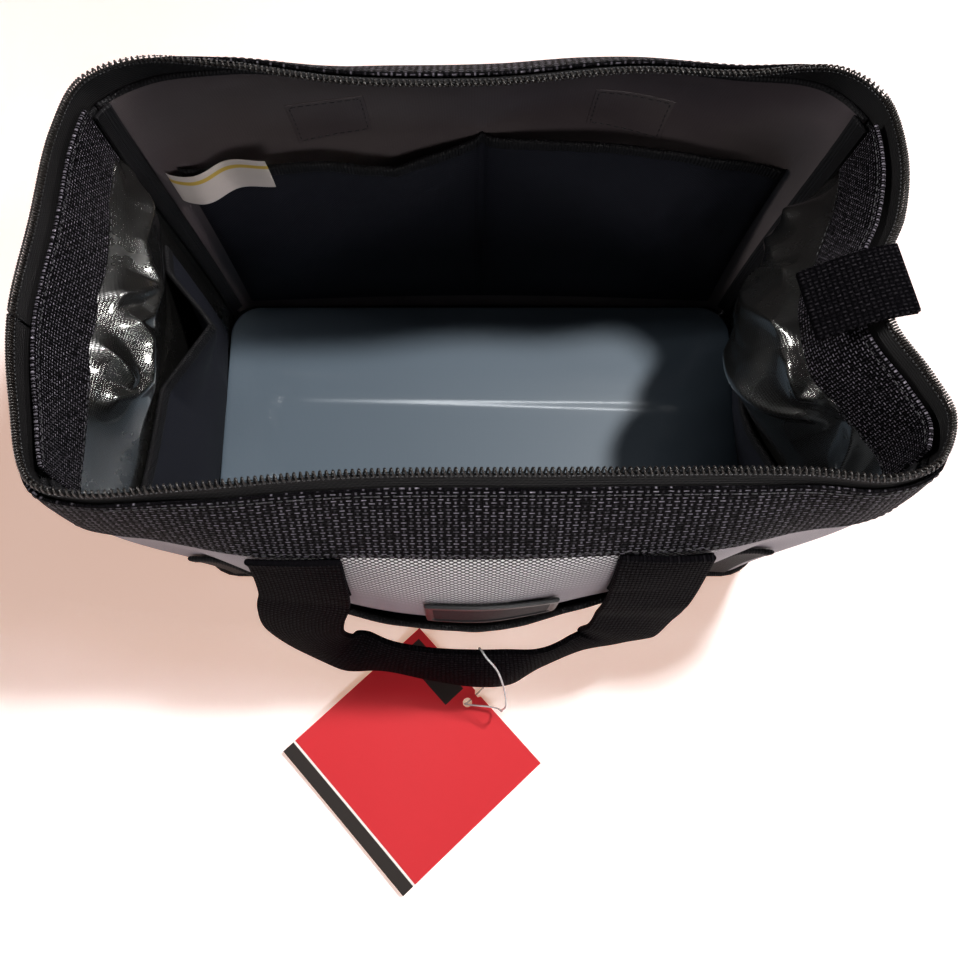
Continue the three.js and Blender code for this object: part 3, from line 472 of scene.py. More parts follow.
def slab(name, columns, rows, place, flat, materials):
    """A closed sheet with two faces: place(u, v, w) gives its points for shares along, across and through
    it, and flat(u, v) its flat coordinates. The first material is on the w = 0 face, the second on the
    other, and a third, if there is one, on the rim."""
    work = bmesh.new()
    bmesh.ops.create_grid(work, x_segments=columns, y_segments=rows, size=0.5)
    raise_copy(work, 1)
    work.verts.index_update()
    unit = np.array([v.co for v in work.verts])
    u, v, w = unit[:, 0] + 0.5, unit[:, 1] + 0.5, unit[:, 2]
    for face in work.faces:
        heights = [corner.co.z for corner in face.verts]
        if min(heights) > 0.5:
            face.material_index = min(1, len(materials) - 1)
        elif max(heights) > 0.5 and len(materials) > 2:
            face.material_index = 2
    for vertex, point in zip(work.verts, place(u, v, w)):
        vertex.co = point
    bmesh.ops.recalc_face_normals(work, faces=work.faces)
    mesh = mesh_from(work, name, np.column_stack(flat(u, v)))
    return new_object(name, mesh, *materials)


def tube(name, line, radius, sides, material, closed_ends=True):
    """A round cord along a line of points. Its radius is one number, or one for each point."""
    line = np.asarray(line, float)
    count = len(line)
    work = bmesh.new()
    bmesh.ops.create_grid(work, x_segments=count - 1, y_segments=sides, size=0.5)
    work.verts.index_update()
    unit = np.array([v.co for v in work.verts])
    index = np.rint((unit[:, 0] + 0.5) * (count - 1)).astype(int)
    angle = (unit[:, 1] + 0.5) * 2 * math.pi
    across, up = frames_along(line)
    size = np.broadcast_to(radius, count)[index][:, None]
    points = line[index] + size * (
        across[index] * np.cos(angle)[:, None] + up[index] * np.sin(angle)[:, None]
    )
    for vertex, point in zip(work.verts, points):
        vertex.co = point
    coordinates = np.column_stack([lengths_along(line)[index], angle * size[:, 0]])
    layer = work.loops.layers.uv.new("Flat")
    for face in work.faces:
        for corner in face.loops:
            corner[layer].uv = coordinates[corner.vert.index]
    bmesh.ops.remove_doubles(work, verts=work.verts, dist=float(np.min(size)) * 0.02)
    if closed_ends:
        bmesh.ops.holes_fill(work, edges=[e for e in work.edges if e.is_boundary], sides=0)
    bmesh.ops.recalc_face_normals(work, faces=work.faces)
    return new_object(name, mesh_from(work, name), material)


def frames_along(line):
    """Two directions across a line at each of its points, carried along it without twisting."""
    ahead = unit_rows(np.gradient(line, axis=0))
    across = np.zeros_like(line)
    start = np.cross(ahead[0], (0.0, 0.0, 1.0))
    if np.linalg.norm(start) < 1e-3:
        start = np.cross(ahead[0], (0.0, 1.0, 0.0))
    across[0] = start / np.linalg.norm(start)
    for i in range(1, len(line)):
        carried = across[i - 1] - ahead[i] * np.dot(across[i - 1], ahead[i])
        across[i] = carried / np.linalg.norm(carried)
    return across, np.cross(ahead, across)


def smooth_line(points, count):
    """A centripetal line through the points, at evenly spaced places."""
    points = np.asarray(points, float)
    padded = np.vstack([2 * points[0] - points[1], points, 2 * points[-1] - points[-2]])
    share = np.linspace(0, 1, 24, endpoint=False)[:, None]
    nearest = [[row[None] for row in padded[i - 1 : i + 3]] for i in range(1, len(padded) - 2)]
    line = np.vstack([through(rows, share) for rows in nearest] + [points[-1:]])
    along = lengths_along(line)
    at = np.linspace(0, along[-1], count)
    return np.column_stack([np.interp(at, along, line[:, k]) for k in range(line.shape[1])])


# From one stitch to the next, as a share of a stitch's length
STITCH_STEP = 1.25


def stitches(name, line, normals, material, length=None, radius=0.00028):
    """A row of sewn stitches: short rounded threads lying on a line."""
    length = length or trim_sizes().stitch
    along = lengths_along(line)
    count = max(1, int(along[-1] / (length * STITCH_STEP)))
    at = (np.arange(count) + 0.5) * along[-1] / count
    work = bmesh.new()

    def read(table, place):
        return Vector([np.interp(place, along, table[:, k]) for k in range(3)])

    for place in at:
        point = read(line, place)
        ahead = (read(line, place + 0.0005) - read(line, place - 0.0005)).normalized()
        up = read(normals, place).normalized()
        side = ahead.cross(up).normalized()
        turned = Matrix((ahead * length / 2, side * radius, up * radius)).transposed().to_4x4()
        turned.translation = point
        bmesh.ops.create_icosphere(work, subdivisions=1, radius=1, matrix=turned)
    bmesh.ops.recalc_face_normals(work, faces=work.faces)
    return new_object(name, mesh_from(work, name), material)


class Wire:
    """A value on its way through a finish. Arithmetic on it adds maths nodes."""

    def __init__(self, finish, socket):
        self.finish = finish
        self.socket = socket

    def __add__(self, other):
        return self.finish.maths("ADD", self, other)

    __radd__ = __add__

    def __sub__(self, other):
        return self.finish.maths("SUBTRACT", self, other)

    def __rsub__(self, other):
        return self.finish.maths("SUBTRACT", other, self)

    def __mul__(self, other):
        return self.finish.maths("MULTIPLY", self, other)

    __rmul__ = __mul__

    def __truediv__(self, other):
        return self.finish.maths("DIVIDE", self, other)

    def __rtruediv__(self, other):
        return self.finish.maths("DIVIDE", other, self)

    def __pow__(self, other):
        return self.finish.maths("POWER", self, other)

    def __abs__(self):
        return self.finish.maths("ABSOLUTE", self)


class Finish:
    """A material under construction."""

    def __init__(self, name):
        self.material = bpy.data.materials.new(name)
        self.material.use_nodes = True
        self.tree = self.material.node_tree
        self.tree.nodes.clear()

    def node(self, kind, settings=None, values=None, out=0):
        """Adds a node: its settings first, then the values or wires of its sockets."""
        made = self.tree.nodes.new(kind)
        for name, value in (settings or {}).items():
            setattr(made, name, value)
        for key, value in (values or {}).items():
            if isinstance(value, Wire):
                self.tree.links.new(value.socket, made.inputs[key])
            else:
                made.inputs[key].default_value = value
        return Wire(self, made.outputs[out]) if len(made.outputs) else None

    def maths(self, operation, first, second=0.0):
        return self.node("ShaderNodeMath", {"operation": operation}, {0: first, 1: second})

    def sine(self, value):
        return self.maths("SINE", value)

    def sharp(self, value, low, high):
        """A smooth step from 0 to 1 between two values."""
        return self.node(
            "ShaderNodeMapRange",
            {"interpolation_type": "SMOOTHSTEP"},
            {"Value": value, "From Min": low, "From Max": high},
        )

    def blend(self, factor, first, second):
        """A colour between two colours."""
        ends = [c if isinstance(c, Wire) else (*c, 1.0) for c in (first, second)]
        return self.node(
            "ShaderNodeMix", {"data_type": "RGBA"}, {0: factor, 6: ends[0], 7: ends[1]}, out=2
        )

    def flat(self):
        """The piece's own flat coordinates, in metres along and across."""
        place = self.node("ShaderNodeUVMap", {"uv_map": "Flat"})
        parts = self.node("ShaderNodeSeparateXYZ", values={0: place})
        node = parts.socket.node
        return place, Wire(self, node.outputs[0]), Wire(self, node.outputs[1])

    def solid(self):
        return self.node("ShaderNodeTexCoord", out="Object")

    def cloud(self, place, scale, detail=3.0, roughness=0.55):
        return self.node(
            "ShaderNodeTexNoise",
            values={"Vector": place, "Scale": scale, "Detail": detail, "Roughness": roughness},
        )

    def bump(self, height, depth, under=None):
        values = {"Strength": 1.0, "Distance": depth, "Height": height}
        if under is not None:
            values["Normal"] = under
        return self.node("ShaderNodeBump", values=values)

    def end(self, **values):
        """Closes the finish with its shader."""
        named = {key.replace("_", " ").title().replace("Ior", "IOR"): value for key, value in values.items()}
        for key in ("Base Color", "Sheen Tint", "Coat Tint"):
            if key in named and not isinstance(named[key], Wire):
                named[key] = (*named[key], 1.0)
        shader = self.node("ShaderNodeBsdfPrincipled", values=named)
        self.node("ShaderNodeOutputMaterial", values={"Surface": shader})
        return self.material


def lighter(colour, share):
    return tuple(min(1.0, c * share) for c in colour)


finished = {}


def finish_once(build):
    """Makes a finish, named like its function, the first time that a piece asks for it."""

    def give():
        name = build.__name__
        if name not in finished:
            finished[name] = build(Finish(name))
        return finished[name]

    return give


def plain_weave(f, u, v, wide, high):
    """Which threads of a weave are on top: those one way above 0, those the other way below it."""
    return f.sine(u * (math.pi / wide)) * f.sine(v * (math.pi / high))


def thread_height(over):
    """Height of threads that cross over and under each other."""
    return abs(over) ** 0.55


def clouded(f, scale, detail, tones, roughness, bump=None, **values):
    """A plain finish: one cloud mixes its two tones, roughens it and may lift its face. The roughness is
    that of the first tone, and how much the cloud adds."""
    cloud = f.cloud(f.solid(), scale, detail)
    if bump:
        values["normal"] = f.bump(cloud, bump)
    rough_part = roughness[0] + roughness[1] * cloud
    return f.end(base_color=f.blend(cloud, *tones), roughness=rough_part, **values)


def shades(colour, *shares):
    return [lighter(colour, share) for share in shares]


def cloth(f, colour, pitch, gloss, depth, crown_highlight, shine):
    place, u, v = f.flat()
    cells = thread_height(plain_weave(f, u + v, u - v, pitch * 1.4, pitch * 1.4))
    wide = f.cloud(place, 22.0, 4.0)
    fine = f.cloud(place, 900.0, 2.0)
    tone = f.blend(wide, *shades(colour, 0.82, 1.16))
    # Painted highlight: lighter specks on the threads' crowns
    tone = f.blend(f.sharp(cells, 0.35, 0.95) * fine, tone, lighter(colour, crown_highlight))
    normal = f.bump(cells + 0.25 * fine, depth)
    roughness = gloss - 0.12 * cells + 0.1 * fine
    return f.end(base_color=tone, roughness=roughness, normal=normal, specular_ior_level=shine)


@finish_once
def grey_cloth(f):
    place, u, v = f.flat()
    pitch = trim_sizes().weave_pitch * 2.6
    cells = thread_height(plain_weave(f, u + v, u - v, pitch, pitch))
    fine = f.cloud(place, 900.0, 2.0)
    grazing = f.node("ShaderNodeLayerWeight", values={"Blend": 0.5}, out=1)
    grey = colours().grey_cloth
    # Painted highlight on the threads' crowns and painted shade between them: the weave runs from near black
    # to over three times the grey
    painted_weave_light = f.blend(f.sharp(cells, 0.50, 0.80), *shades(grey, 0.02, 3.4))
    # Painted shade: where the cloth turns away from the camera, the painted weave gives way to a flat,
    # darker violet grey
    tone = f.blend(f.sharp(grazing, 0.42, 0.80), painted_weave_light, (grey[0] * 0.62, grey[1] * 0.52, grey[2] * 0.50))
    normal = f.bump(cells, 0.00035)
    return f.end(base_color=tone, roughness=0.5 + 0.1 * fine, normal=normal, specular_ior_level=0.5)


@finish_once
def black_cloth(f):
    return cloth(f, colours().black_cloth, trim_sizes().weave_pitch, 0.72, 0.00022, 2.6, 0.25)


def basket_weave(f, glint, shine):
    """Coarse webbing: near black, with painted highlights, light streaks where its threads come up."""
    pitch = trim_sizes().rib_pitch
    colour = colours().webbing
    place, u, v = f.flat()
    wander = f.cloud(place, 160.0, 2.0) - 0.5
    across = u + wander * 0.0006
    down = v + wander * 0.0005
    over = plain_weave(f, across, down, pitch, pitch * 0.8)
    cells = thread_height(over)
    wide = abs(f.sine(across * (math.pi / pitch)))
    high = abs(f.sine(down * (math.pi / (pitch * 0.8))))
    on_top = f.sharp(over, -0.1, 0.1)
    upright, level = (abs(f.sine(way * (math.pi * 5 / pitch))) for way in (across, down))
    fibres = upright * (1 - on_top) + on_top * level
    # Painted highlights: glints on the crowns of the lying and the standing threads, thinned out in random
    # patches
    lying = f.sharp(high, 0.78, 0.99) * f.sharp(wide, 0.25, 0.65) * on_top
    standing = f.sharp(wide, 0.82, 0.99) * f.sharp(high, 0.25, 0.65) * (1 - on_top)
    wear_and_glint_patches = f.sharp(f.cloud(place, 330.0, 2.0), 0.30, 0.62)
    patchy = f.cloud(place, 40.0, 2.0)
    painted_glints = wear_and_glint_patches * (lying + standing * patchy)
    tone = f.blend(painted_glints, colour, glint)
    normal = f.bump(cells + 0.12 * fibres, 0.0009)
    return f.end(base_color=tone, roughness=0.66 - 0.12 * cells, normal=normal, specular_ior_level=shine)


@finish_once
def webbing(f):
    # The glint colour is that of the painted highlights on the threads' crowns
    return basket_weave(f, (0.22, 0.20, 0.24), 0.03)


@finish_once
def handle_webbing(f):
    return basket_weave(f, (0.020, 0.018, 0.021), 0.01)


@finish_once
def binding(f):
    colour = colours().webbing
    place, u, v = f.flat()
    ribs = abs(f.sine(u * (math.pi / 0.0012)))
    cross = abs(f.sine(v * (math.pi / 0.0009)))
    wide = f.cloud(place, 60.0, 3.0)
    # Painted highlight: the ribs' crests are lighter
    tone = f.blend(ribs, colour, lighter(colour, 2.2))
    normal = f.bump(ribs + 0.3 * cross, 0.0003)
    return f.end(base_color=tone, roughness=0.7 - 0.1 * wide, normal=normal, specular_ior_level=0.25)


@finish_once
def zip_tape(f):
    colour = colours().tape
    place, u, v = f.flat()
    slanted = u / 0.0016 + v / 0.0007
    slant = abs(slanted - f.maths("ROUND", slanted))
    rows = abs(f.sine(v * (math.pi / 0.0011)))
    wide = f.cloud(place, 45.0, 3.0)
    tone = f.blend(wide, *shades(colour, 0.8, 1.5))
    normal = f.bump(rows + slant, 0.00012)
    return f.end(base_color=tone, roughness=0.5 + 0.15 * wide, normal=normal, specular_ior_level=0.28)


@finish_once
def zip_coil(f):
    return clouded(f, 260.0, 2.0, shades(colours().coil, 0.7, 1.6), (0.26, 0.2), specular_ior_level=0.6)


@finish_once
def thread(f):
    return clouded(f, 900.0, 2.0, ((0.012, 0.012, 0.014), (0.040, 0.040, 0.044)), (0.45, 0.2))


def coated(f, colour, roughness, grain, cloudy, coat=0.0):
    """A coated fabric: the weave shows faintly through a smooth skin."""
    place, u, v = f.flat()
    cells = thread_height(plain_weave(f, u, v, 0.0011, 0.0011))
    wide = f.cloud(place, 14.0, 4.0)
    fine = f.cloud(place, 120.0, 3.0)
    tone = f.blend(f.sharp(wide, 0.3, 0.7) * cloudy, *shades(colour, 0.72, 1.35))
    return f.end(
        base_color=tone,
        roughness=roughness + 0.14 * wide - 0.05 * fine,
        normal=f.bump(cells, grain, f.bump(fine, 0.00012)),
        specular_ior_level=0.5 + 0.5 * coat,
        coat_weight=coat,
        coat_roughness=0.09,
    )


@finish_once
def black_vinyl(f):
    return coated(f, colours().black_vinyl, 0.22, 0.00006, 0.6, 1.0)


@finish_once
def painted_shade_lining(f):
    place, u, v = f.flat()
    cells = thread_height(plain_weave(f, u, v, 0.0010, 0.0010))
    wide = f.cloud(place, 9.0, 3.0)
    fine = f.cloud(place, 90.0, 3.0)
    # Painted shade: the front's pale coated lining, darkened as if in the back wall's shadow
    shaded_brown = colours().painted_shade_lining
    tone = f.blend(f.sharp(wide, 0.34, 0.66), shaded_brown, (0.064, 0.050, 0.056))
    normal = f.bump(cells, 0.00005, f.bump(fine, 0.0003))
    return f.end(base_color=tone, roughness=0.40 + 0.15 * wide, normal=normal, specular_ior_level=0.4)


@finish_once
def pale_lining(f):
    return coated(f, colours().pale_lining, 0.34, 0.00005, 1.0)


@finish_once
def floor_vinyl(f):
    place, u, v = f.flat()
    cells = thread_height(plain_weave(f, u, v, 0.0007, 0.0007))
    wide = f.cloud(place, 7.0, 2.0)
    fine = f.cloud(place, 160.0, 2.0)
    return f.end(
        base_color=f.blend(wide, *shades(colours().floor_vinyl, 0.92, 1.08)),
        roughness=0.42 + 0.08 * wide,
        normal=f.bump(cells, 0.00002, f.bump(fine, 0.00003)),
        specular_ior_level=0.3,
        coat_weight=1.0,
        coat_roughness=0.09,
    )


@finish_once
def pocket_lining(f):
    return cloth(f, (0.0075, 0.008, 0.0125), 0.0010, 0.7, 0.00014, 2.0, 0.15)


@finish_once
def dark_metal(f):
    cloud = f.cloud(f.solid(), 300.0, 3.0)
    wear_and_glint_patches = f.sharp(cloud, 0.62, 0.72)
    return f.end(
        base_color=f.blend(wear_and_glint_patches, *shades(colours().metal, 1.0, 5.0)),
        metallic=0.9,
        roughness=0.32 + 0.16 * cloud,
        normal=f.bump(cloud, 0.00005),
    )


@finish_once
def stiff_board(f):
    return clouded(f, 240.0, 4.0, ((0.055, 0.052, 0.050), (0.085, 0.082, 0.078)), (0.7, 0.1), 0.0001)


@finish_once
def badge_rubber(f):
    tones = shades(colours().rubber, 0.7, 1.2)
    return clouded(f, 420.0, 3.0, tones, (0.5, 0.16), 0.00008, specular_ior_level=0.12)


@finish_once
def badge_edge(f):
    return clouded(f, 420.0, 3.0, ((0.006, 0.006, 0.007), (0.012, 0.012, 0.014)), (0.3, 0.16), 0.00006)


def stripe_between(f, value, low, high, edge):
    """1 between two places, with soft edges just past each of them."""
    return f.sharp(value, low, low + edge) * (1 - f.sharp(value, high, high + edge))


@finish_once
def label_cloth(f):
    place, _, v = f.flat()
    rows = abs(f.sine(v * (math.pi / 0.00045)))
    stripe = stripe_between(f, v, 0.0035, 0.0062, 0.0003)
    tone = f.blend(f.cloud(place, 120.0, 3.0), *shades(colours().label, 0.93, 1.07))
    tone = f.blend(stripe, tone, colours().label_stripe)
    return f.end(base_color=tone, roughness=0.5 + 0.1 * rows, normal=f.bump(rows, 0.00006))


@finish_once
def tag_card(f):
    place, u, v = f.flat()
    fibre = f.cloud(place, 700.0, 3.0)
    near_foot = 1 - f.sharp(v, 0.0068, 0.0070)
    line = stripe_between(f, v, 0.0068, 0.0080, 0.0002)
    block = stripe_between(f, u, 0.0040, 0.0400, 0.0002) * stripe_between(f, v, 0.0790, 0.0918, 0.0002)
    scuffs = f.sharp(f.cloud(place, 60.0, 5.0), 0.66, 0.74) * 0.25
    tone = f.blend(scuffs, *shades(colours().tag_red, 1.0, 1.2))
    tone = f.blend(f.maths("MAXIMUM", near_foot, block), tone, colours().tag_black)
    tone = f.blend(line, tone, (0.85, 0.83, 0.80))
    return f.end(
        base_color=tone,
        roughness=0.3 + 0.1 * fibre,
        normal=f.bump(fibre, 0.00002),
        coat_weight=0.25,
        coat_roughness=0.15,
    )


@finish_once
def tag_back(f):
    return clouded(f, 500.0, 4.0, ((0.70, 0.68, 0.64), (0.80, 0.78, 0.75)), (0.6, 0.1), 0.00003)


@finish_once
def clear_nylon(f):
    tones = shades(colours().nylon, 1.0, 1.2)
    clear = {"transmission_weight": 0.55, "ior": 1.5, "specular_ior_level": 0.6}
    return clouded(f, 300.0, 2.0, tones, (0.2, 0.1), **clear)


def table_top():
    """A pale table that shows white to the camera where it is lit, and keeps the bag's shadow."""
    f = Finish("table")
    place = f.solid()
    tone = f.blend(f.cloud(place, 2.0, 3.0), *shades(colours().floor, 0.98, 1.02))
    surface = {"Base Color": tone, "Roughness": 0.7, "Specular IOR Level": 0.1}
    plain = f.node("ShaderNodeBsdfPrincipled", values=surface)
    glow = f.node("ShaderNodeEmission", values={"Color": (*colours().shade, 1.0), "Strength": 1.0})
    both = f.node("ShaderNodeAddShader", values={0: plain, 1: glow})
    ray = f.node("ShaderNodeLightPath", out="Is Camera Ray")
    mirror = f.node("ShaderNodeLightPath", out="Is Glossy Ray")
    seen = f.maths("MAXIMUM", ray, mirror)
    far = f.node("ShaderNodeVectorMath", {"operation": "LENGTH"}, {0: place}, out=1)
    white = f.node("ShaderNodeEmission", values={"Color": (1.0, 1.0, 1.0, 1.0), "Strength": 1.0})
    faded = f.node("ShaderNodeMixShader", values={0: f.sharp(far, 0.6, 1.2), 1: both, 2: white})
    shown = f.node("ShaderNodeMixShader", values={0: seen, 1: plain, 2: faded})
    f.node("ShaderNodeOutputMaterial", values={"Surface": shown})
    return f.material


built = {}


def the_wall():
    if "wall" not in built:
        built["wall"] = Wall(shape_sizes())
    return built["wall"]


def on_bag(piece, slot_name, *nodes):
    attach(piece, "bag")
    if nodes:
        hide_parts(*nodes)
    return piece


def crowded(share, count, length, edge):
    """Moves the first and the last lines of a grid into the rounded edge of a piece."""
    if not edge:
        return share
    ends = np.array([0, 0.12, 0.45, 1.0]) * edge / length
    middle = np.linspace(ends[-1], 1 - ends[-1], count - 5)[1:-1]
    table = np.concatenate([ends, middle, 1 - ends[::-1]])
    return table[np.rint(share * count).astype(int)]


def rounded(distance, edge):
    """The share of a strip's thickness that is left at a distance from its edge."""
    if not edge:
        return np.ones_like(distance)
    inside = np.clip(distance / edge, 0, 1)
    return np.maximum(0.12, np.sqrt(np.clip(1 - (1 - inside) ** 2, 0, 1)))


def wall_sheet(name, stations, downs, outs, materials, columns, rows, edge=0.0):
    """A closed sheet that follows the wall. The distances down and out may be functions of the station
    and the distance down, with shares along and down the sheet."""
    wall = the_wall()
    length = (stations[1] - stations[0]) * wall.rim_length / 4
    middle = np.array([np.mean(stations)])
    top_down, foot_down = (float(np.mean(value_of(down, middle, 0))) for down in downs)
    height = foot_down - top_down

    def spread(u, v):
        along = crowded(u, columns, length, edge)
        fall = crowded(v, rows, height, edge)
        station = stations[0] + (stations[1] - stations[0]) * along
        top, foot = value_of(downs[0], station, along), value_of(downs[1], station, along)
        return along, fall, station, top + (foot - top) * fall

    def place(u, v, w):
        along, fall, station, down = spread(u, v)
        near, far = (value_of(out, station, down, along, fall) for out in outs)
        beside = np.minimum(np.minimum(along, 1 - along) * length, np.minimum(fall, 1 - fall) * height)
        half = (far - near) / 2 * rounded(beside, edge)
        return wall.at(station, down, (near + far) / 2 + (2 * w - 1) * half)

    def flat(u, v):
        along, fall, station, down = spread(u, v)
        return stations[0] + along * length, down

    return slab(name, columns, rows, place, flat, materials)


def value_of(value, station, *shares):
    return value(station, *shares) if callable(value) else np.full(len(station), float(value))


def wall_line(stations, downs, out):
    wall = the_wall()
    stations, downs = np.broadcast_arrays(np.asarray(stations, float), np.asarray(downs, float))
    place, _, normal = wall.frame_at(stations, downs)
    return place + normal * out, normal * np.sign(out if out else 1)


def strap(name, line, across, width, thickness, cup, material, rows=14, edge=0.0009):
    """Webbing along a line, its width kept near the given directions, its section cupped a little."""
    count = len(line) - 1
    ahead = unit_rows(np.gradient(line, axis=0))
    across = unit_rows(across - ahead * np.sum(across * ahead, axis=1)[:, None])
    out = np.cross(ahead, across)
    width = np.broadcast_to(width, len(line))
    cup = np.broadcast_to(cup, len(line))
    along = lengths_along(line)

    def place(u, v, w):
        index = np.rint(u * count).astype(int)
        side = crowded(v, rows, float(np.mean(width)), edge) - 0.5
        wide = width[index]
        half = thickness / 2 * rounded((0.5 - np.abs(side)) * wide, edge)
        rise = (2 * w - 1) * half - cup[index] * (2 * side) ** 2
        return line[index] + across[index] * (side * wide)[:, None] + out[index] * rise[:, None]

    def flat(u, v):
        index = np.rint(u * count).astype(int)
        return along[index], (crowded(v, rows, float(np.mean(width)), edge) - 0.5) * width[index]

    return slab(name, count, rows, place, flat, [material])


def cloth_area(piece):
    """The area of one of a sheet's two faces."""
    return sum(face.area for face in piece.data.polygons) / 2


def length_between(stations):
    """The rim's length over stations on one side."""
    return (stations[1] - stations[0]) * the_wall().side_length(int(stations[0]))


def outline(half, low, high):
    """The four legs of a square, each as its two ends."""
    corners = [(-half, low), (half, low), (half, high), (-half, high)]
    return list(zip(corners, corners[1:] + corners[:1]))


def sew(name, legs, face, **sizes):
    """One piece of stitching with a row along each leg. The face gives the places and the normals there."""
    steps = np.linspace(0, 1, 30)
    rows = []
    for (x0, y0), (x1, y1) in legs:
        line, normals = face(x0 + (x1 - x0) * steps, y0 + (y1 - y0) * steps)
        rows.append(stitches("row", line, normals, thread(), **sizes))
    on_bag(join(name + "_stitching", rows), "webbing")


def sew_along(name, stations, short, count, downs, out):
    """Rows of stitches along the wall, which stop short of the stations."""
    places = np.linspace(stations[0] + short, stations[1] - short, count)
    for row, down in enumerate(downs):
        line, normals = wall_line(places, down, out)
        on_bag(stitches(f"{name}_stitching_{row + 1}", line, normals, thread()), "webbing")


# The walls' corner seams, the depth of their bound edge, the face that the inner pieces lie on, the strips'
# shares of the ends and the heights of the floor lining's two faces
SEAM_SHARE = 0.002
SEAM_HALF = 0.0055
BOUND_EDGE = 0.0024
INSIDE = -0.0039
STRIP_SIDES = (0.045, 0.955)
FLOOR_HEIGHTS = (0.0061, 0.0071)

# Each pocket: its side, its edge's distance below the rim, its shares of the wall, how far it stands off,
# its bays, its direction and how full a bay is
POCKETS = {
    "front_inner_pocket": (FRONT, 0.066, (0.09, 0.91), 0.016, 2, -1, 0.5),
    "right_inner_pocket": (RIGHT, 0.118, (0.14, 0.86), 0.003, 1, -1, 0.5),
    "back_inner_pocket": (BACK, 0.078, (0.045, 0.955), 0.014, 2, -1, 0.5),
    "left_inner_pocket": (LEFT, 0.099, (0.14, 0.86), 0.022, 1, -1, 0.5),
    "front_outer_pocket": (FRONT, 0.130, (0.05, 0.95), 0.0030, 1, 1, 1),
    "right_outer_pocket": (RIGHT, 0.078, (0.08, 0.92), 0.015, 1, 1, 0.5),
    "back_outer_pocket": (BACK, 0.112, (0.05, 0.95), 0.0070, 1, 1, 1),
    "left_outer_pocket": (LEFT, 0.078, (0.08, 0.92), 0.015, 1, 1, 0.5),
}
POCKET_CLOTH = 0.0014
POCKET_BINDING = 0.0007
POCKET_FOOT = 0.009
BACK_POCKET_SAG = ((0, 0), (0.15, 0), (0.36, 0.014), (0.51, 0.024), (0.65, 0.031), (0.76, 0.015), (1, 0))

# The rows of stitches, in from the edges of the bands, the strips and the patches inside
ROW_INSET = 0.0028
STRIP_ROW_INSET = 0.0025
PATCH_SEAM = 0.002

# The handles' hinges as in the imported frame, and their roots, feet and patches down from the rim
FRONT_PIVOT = Vector((0, -0.107965, 0.155558))
BACK_PIVOT = Vector((0, 0.117083, 0.158962))
HANDLE_PIVOT_DOWN = 0.052
HANDLE_ROOT_DOWN = 0.0468
HANDLE_OFF_WALL = 0.0034
HANDLE_THICKNESS = 0.0026
FOOT_SPAN = (HANDLE_PIVOT_DOWN - 0.002, HANDLE_PIVOT_DOWN + 0.028)
FOOT_BOX = (HANDLE_PIVOT_DOWN + 0.001, HANDLE_PIVOT_DOWN + 0.025)
INNER_PATCH = (HANDLE_PIVOT_DOWN + 0.007, HANDLE_PIVOT_DOWN + 0.039)

# The badge and the label
BADGE_DOWN = (0.087, 0.113)
BADGE_WIDTH = 0.058
BADGE_RIM = 0.0026
LABEL_SHARES = (0.828, 0.972)
LABEL_DEPTH = 0.0215
LABEL_CLOTH = 0.0006

# The zip: its tape's two faces, the coil's swing across it and the bands' room for the closed run
TAPE_OUTS = (-0.0013, -0.0003)
COIL_SWING = 0.00095
RUN_CLEAR = 0.016

# The closed run's place and directions, and the widths, lower ends and upper ends of its tape and tab
RUN_PLACE = Vector((-0.178107, -0.020237, 0.183767))
RUN_ALONG = Vector((0.01102, -0.99992, -0.0067))
RUN_UP = Vector((-0.22944, -0.00905, 0.97328))
RUN_OUT = Vector((-0.97326, -0.00919, -0.22952))
RUN_TAPE = (0.024, -0.045, -0.002)
RUN_STOP = (0.028, -0.049, -0.037)
RUN_TURNS = 19
RUN_TAPE_CLOTH = 0.001

# The hang tag as it lies, its hole in its own middle's measures, and its cord
TAG_CENTRE = Vector((-0.036, -0.181, 0.0016))
TAG_TURN = math.radians(-47.5)
TAG_SIDE = 0.096
TAG_HOLE = Vector((-0.001, 0.0406, 0))
TAG_HOLE_RADIUS = 0.0025
TAG_CARD = 0.0008
CORD = 0.001


class TOOLBAG_OT_camera(bpy.types.Operator):
    """Places the camera above and in front of the bag"""

    bl_idname = "tool_bag.camera"
    bl_label = "Camera"

    def execute(self, context):
        studio = context.scene.bag_studio
        lens = bpy.data.cameras.new("camera")
        lens.lens = studio.lens
        lens.sensor_width = 36
        lens.clip_start = 0.01
        camera = bpy.data.objects.new("camera", lens)
        camera.location = (0, -studio.camera_back, studio.camera_height)
        camera.rotation_euler = (studio.camera_tilt, 0, 0)
        context.scene.collection.objects.link(camera)
        context.scene.camera = camera
        return {"FINISHED"}


def turned_on_tag(x, y):
    cos, sin = math.cos(TAG_TURN), math.sin(TAG_TURN)
    return TAG_CENTRE.x + cos * x - sin * y, TAG_CENTRE.y + sin * x + cos * y


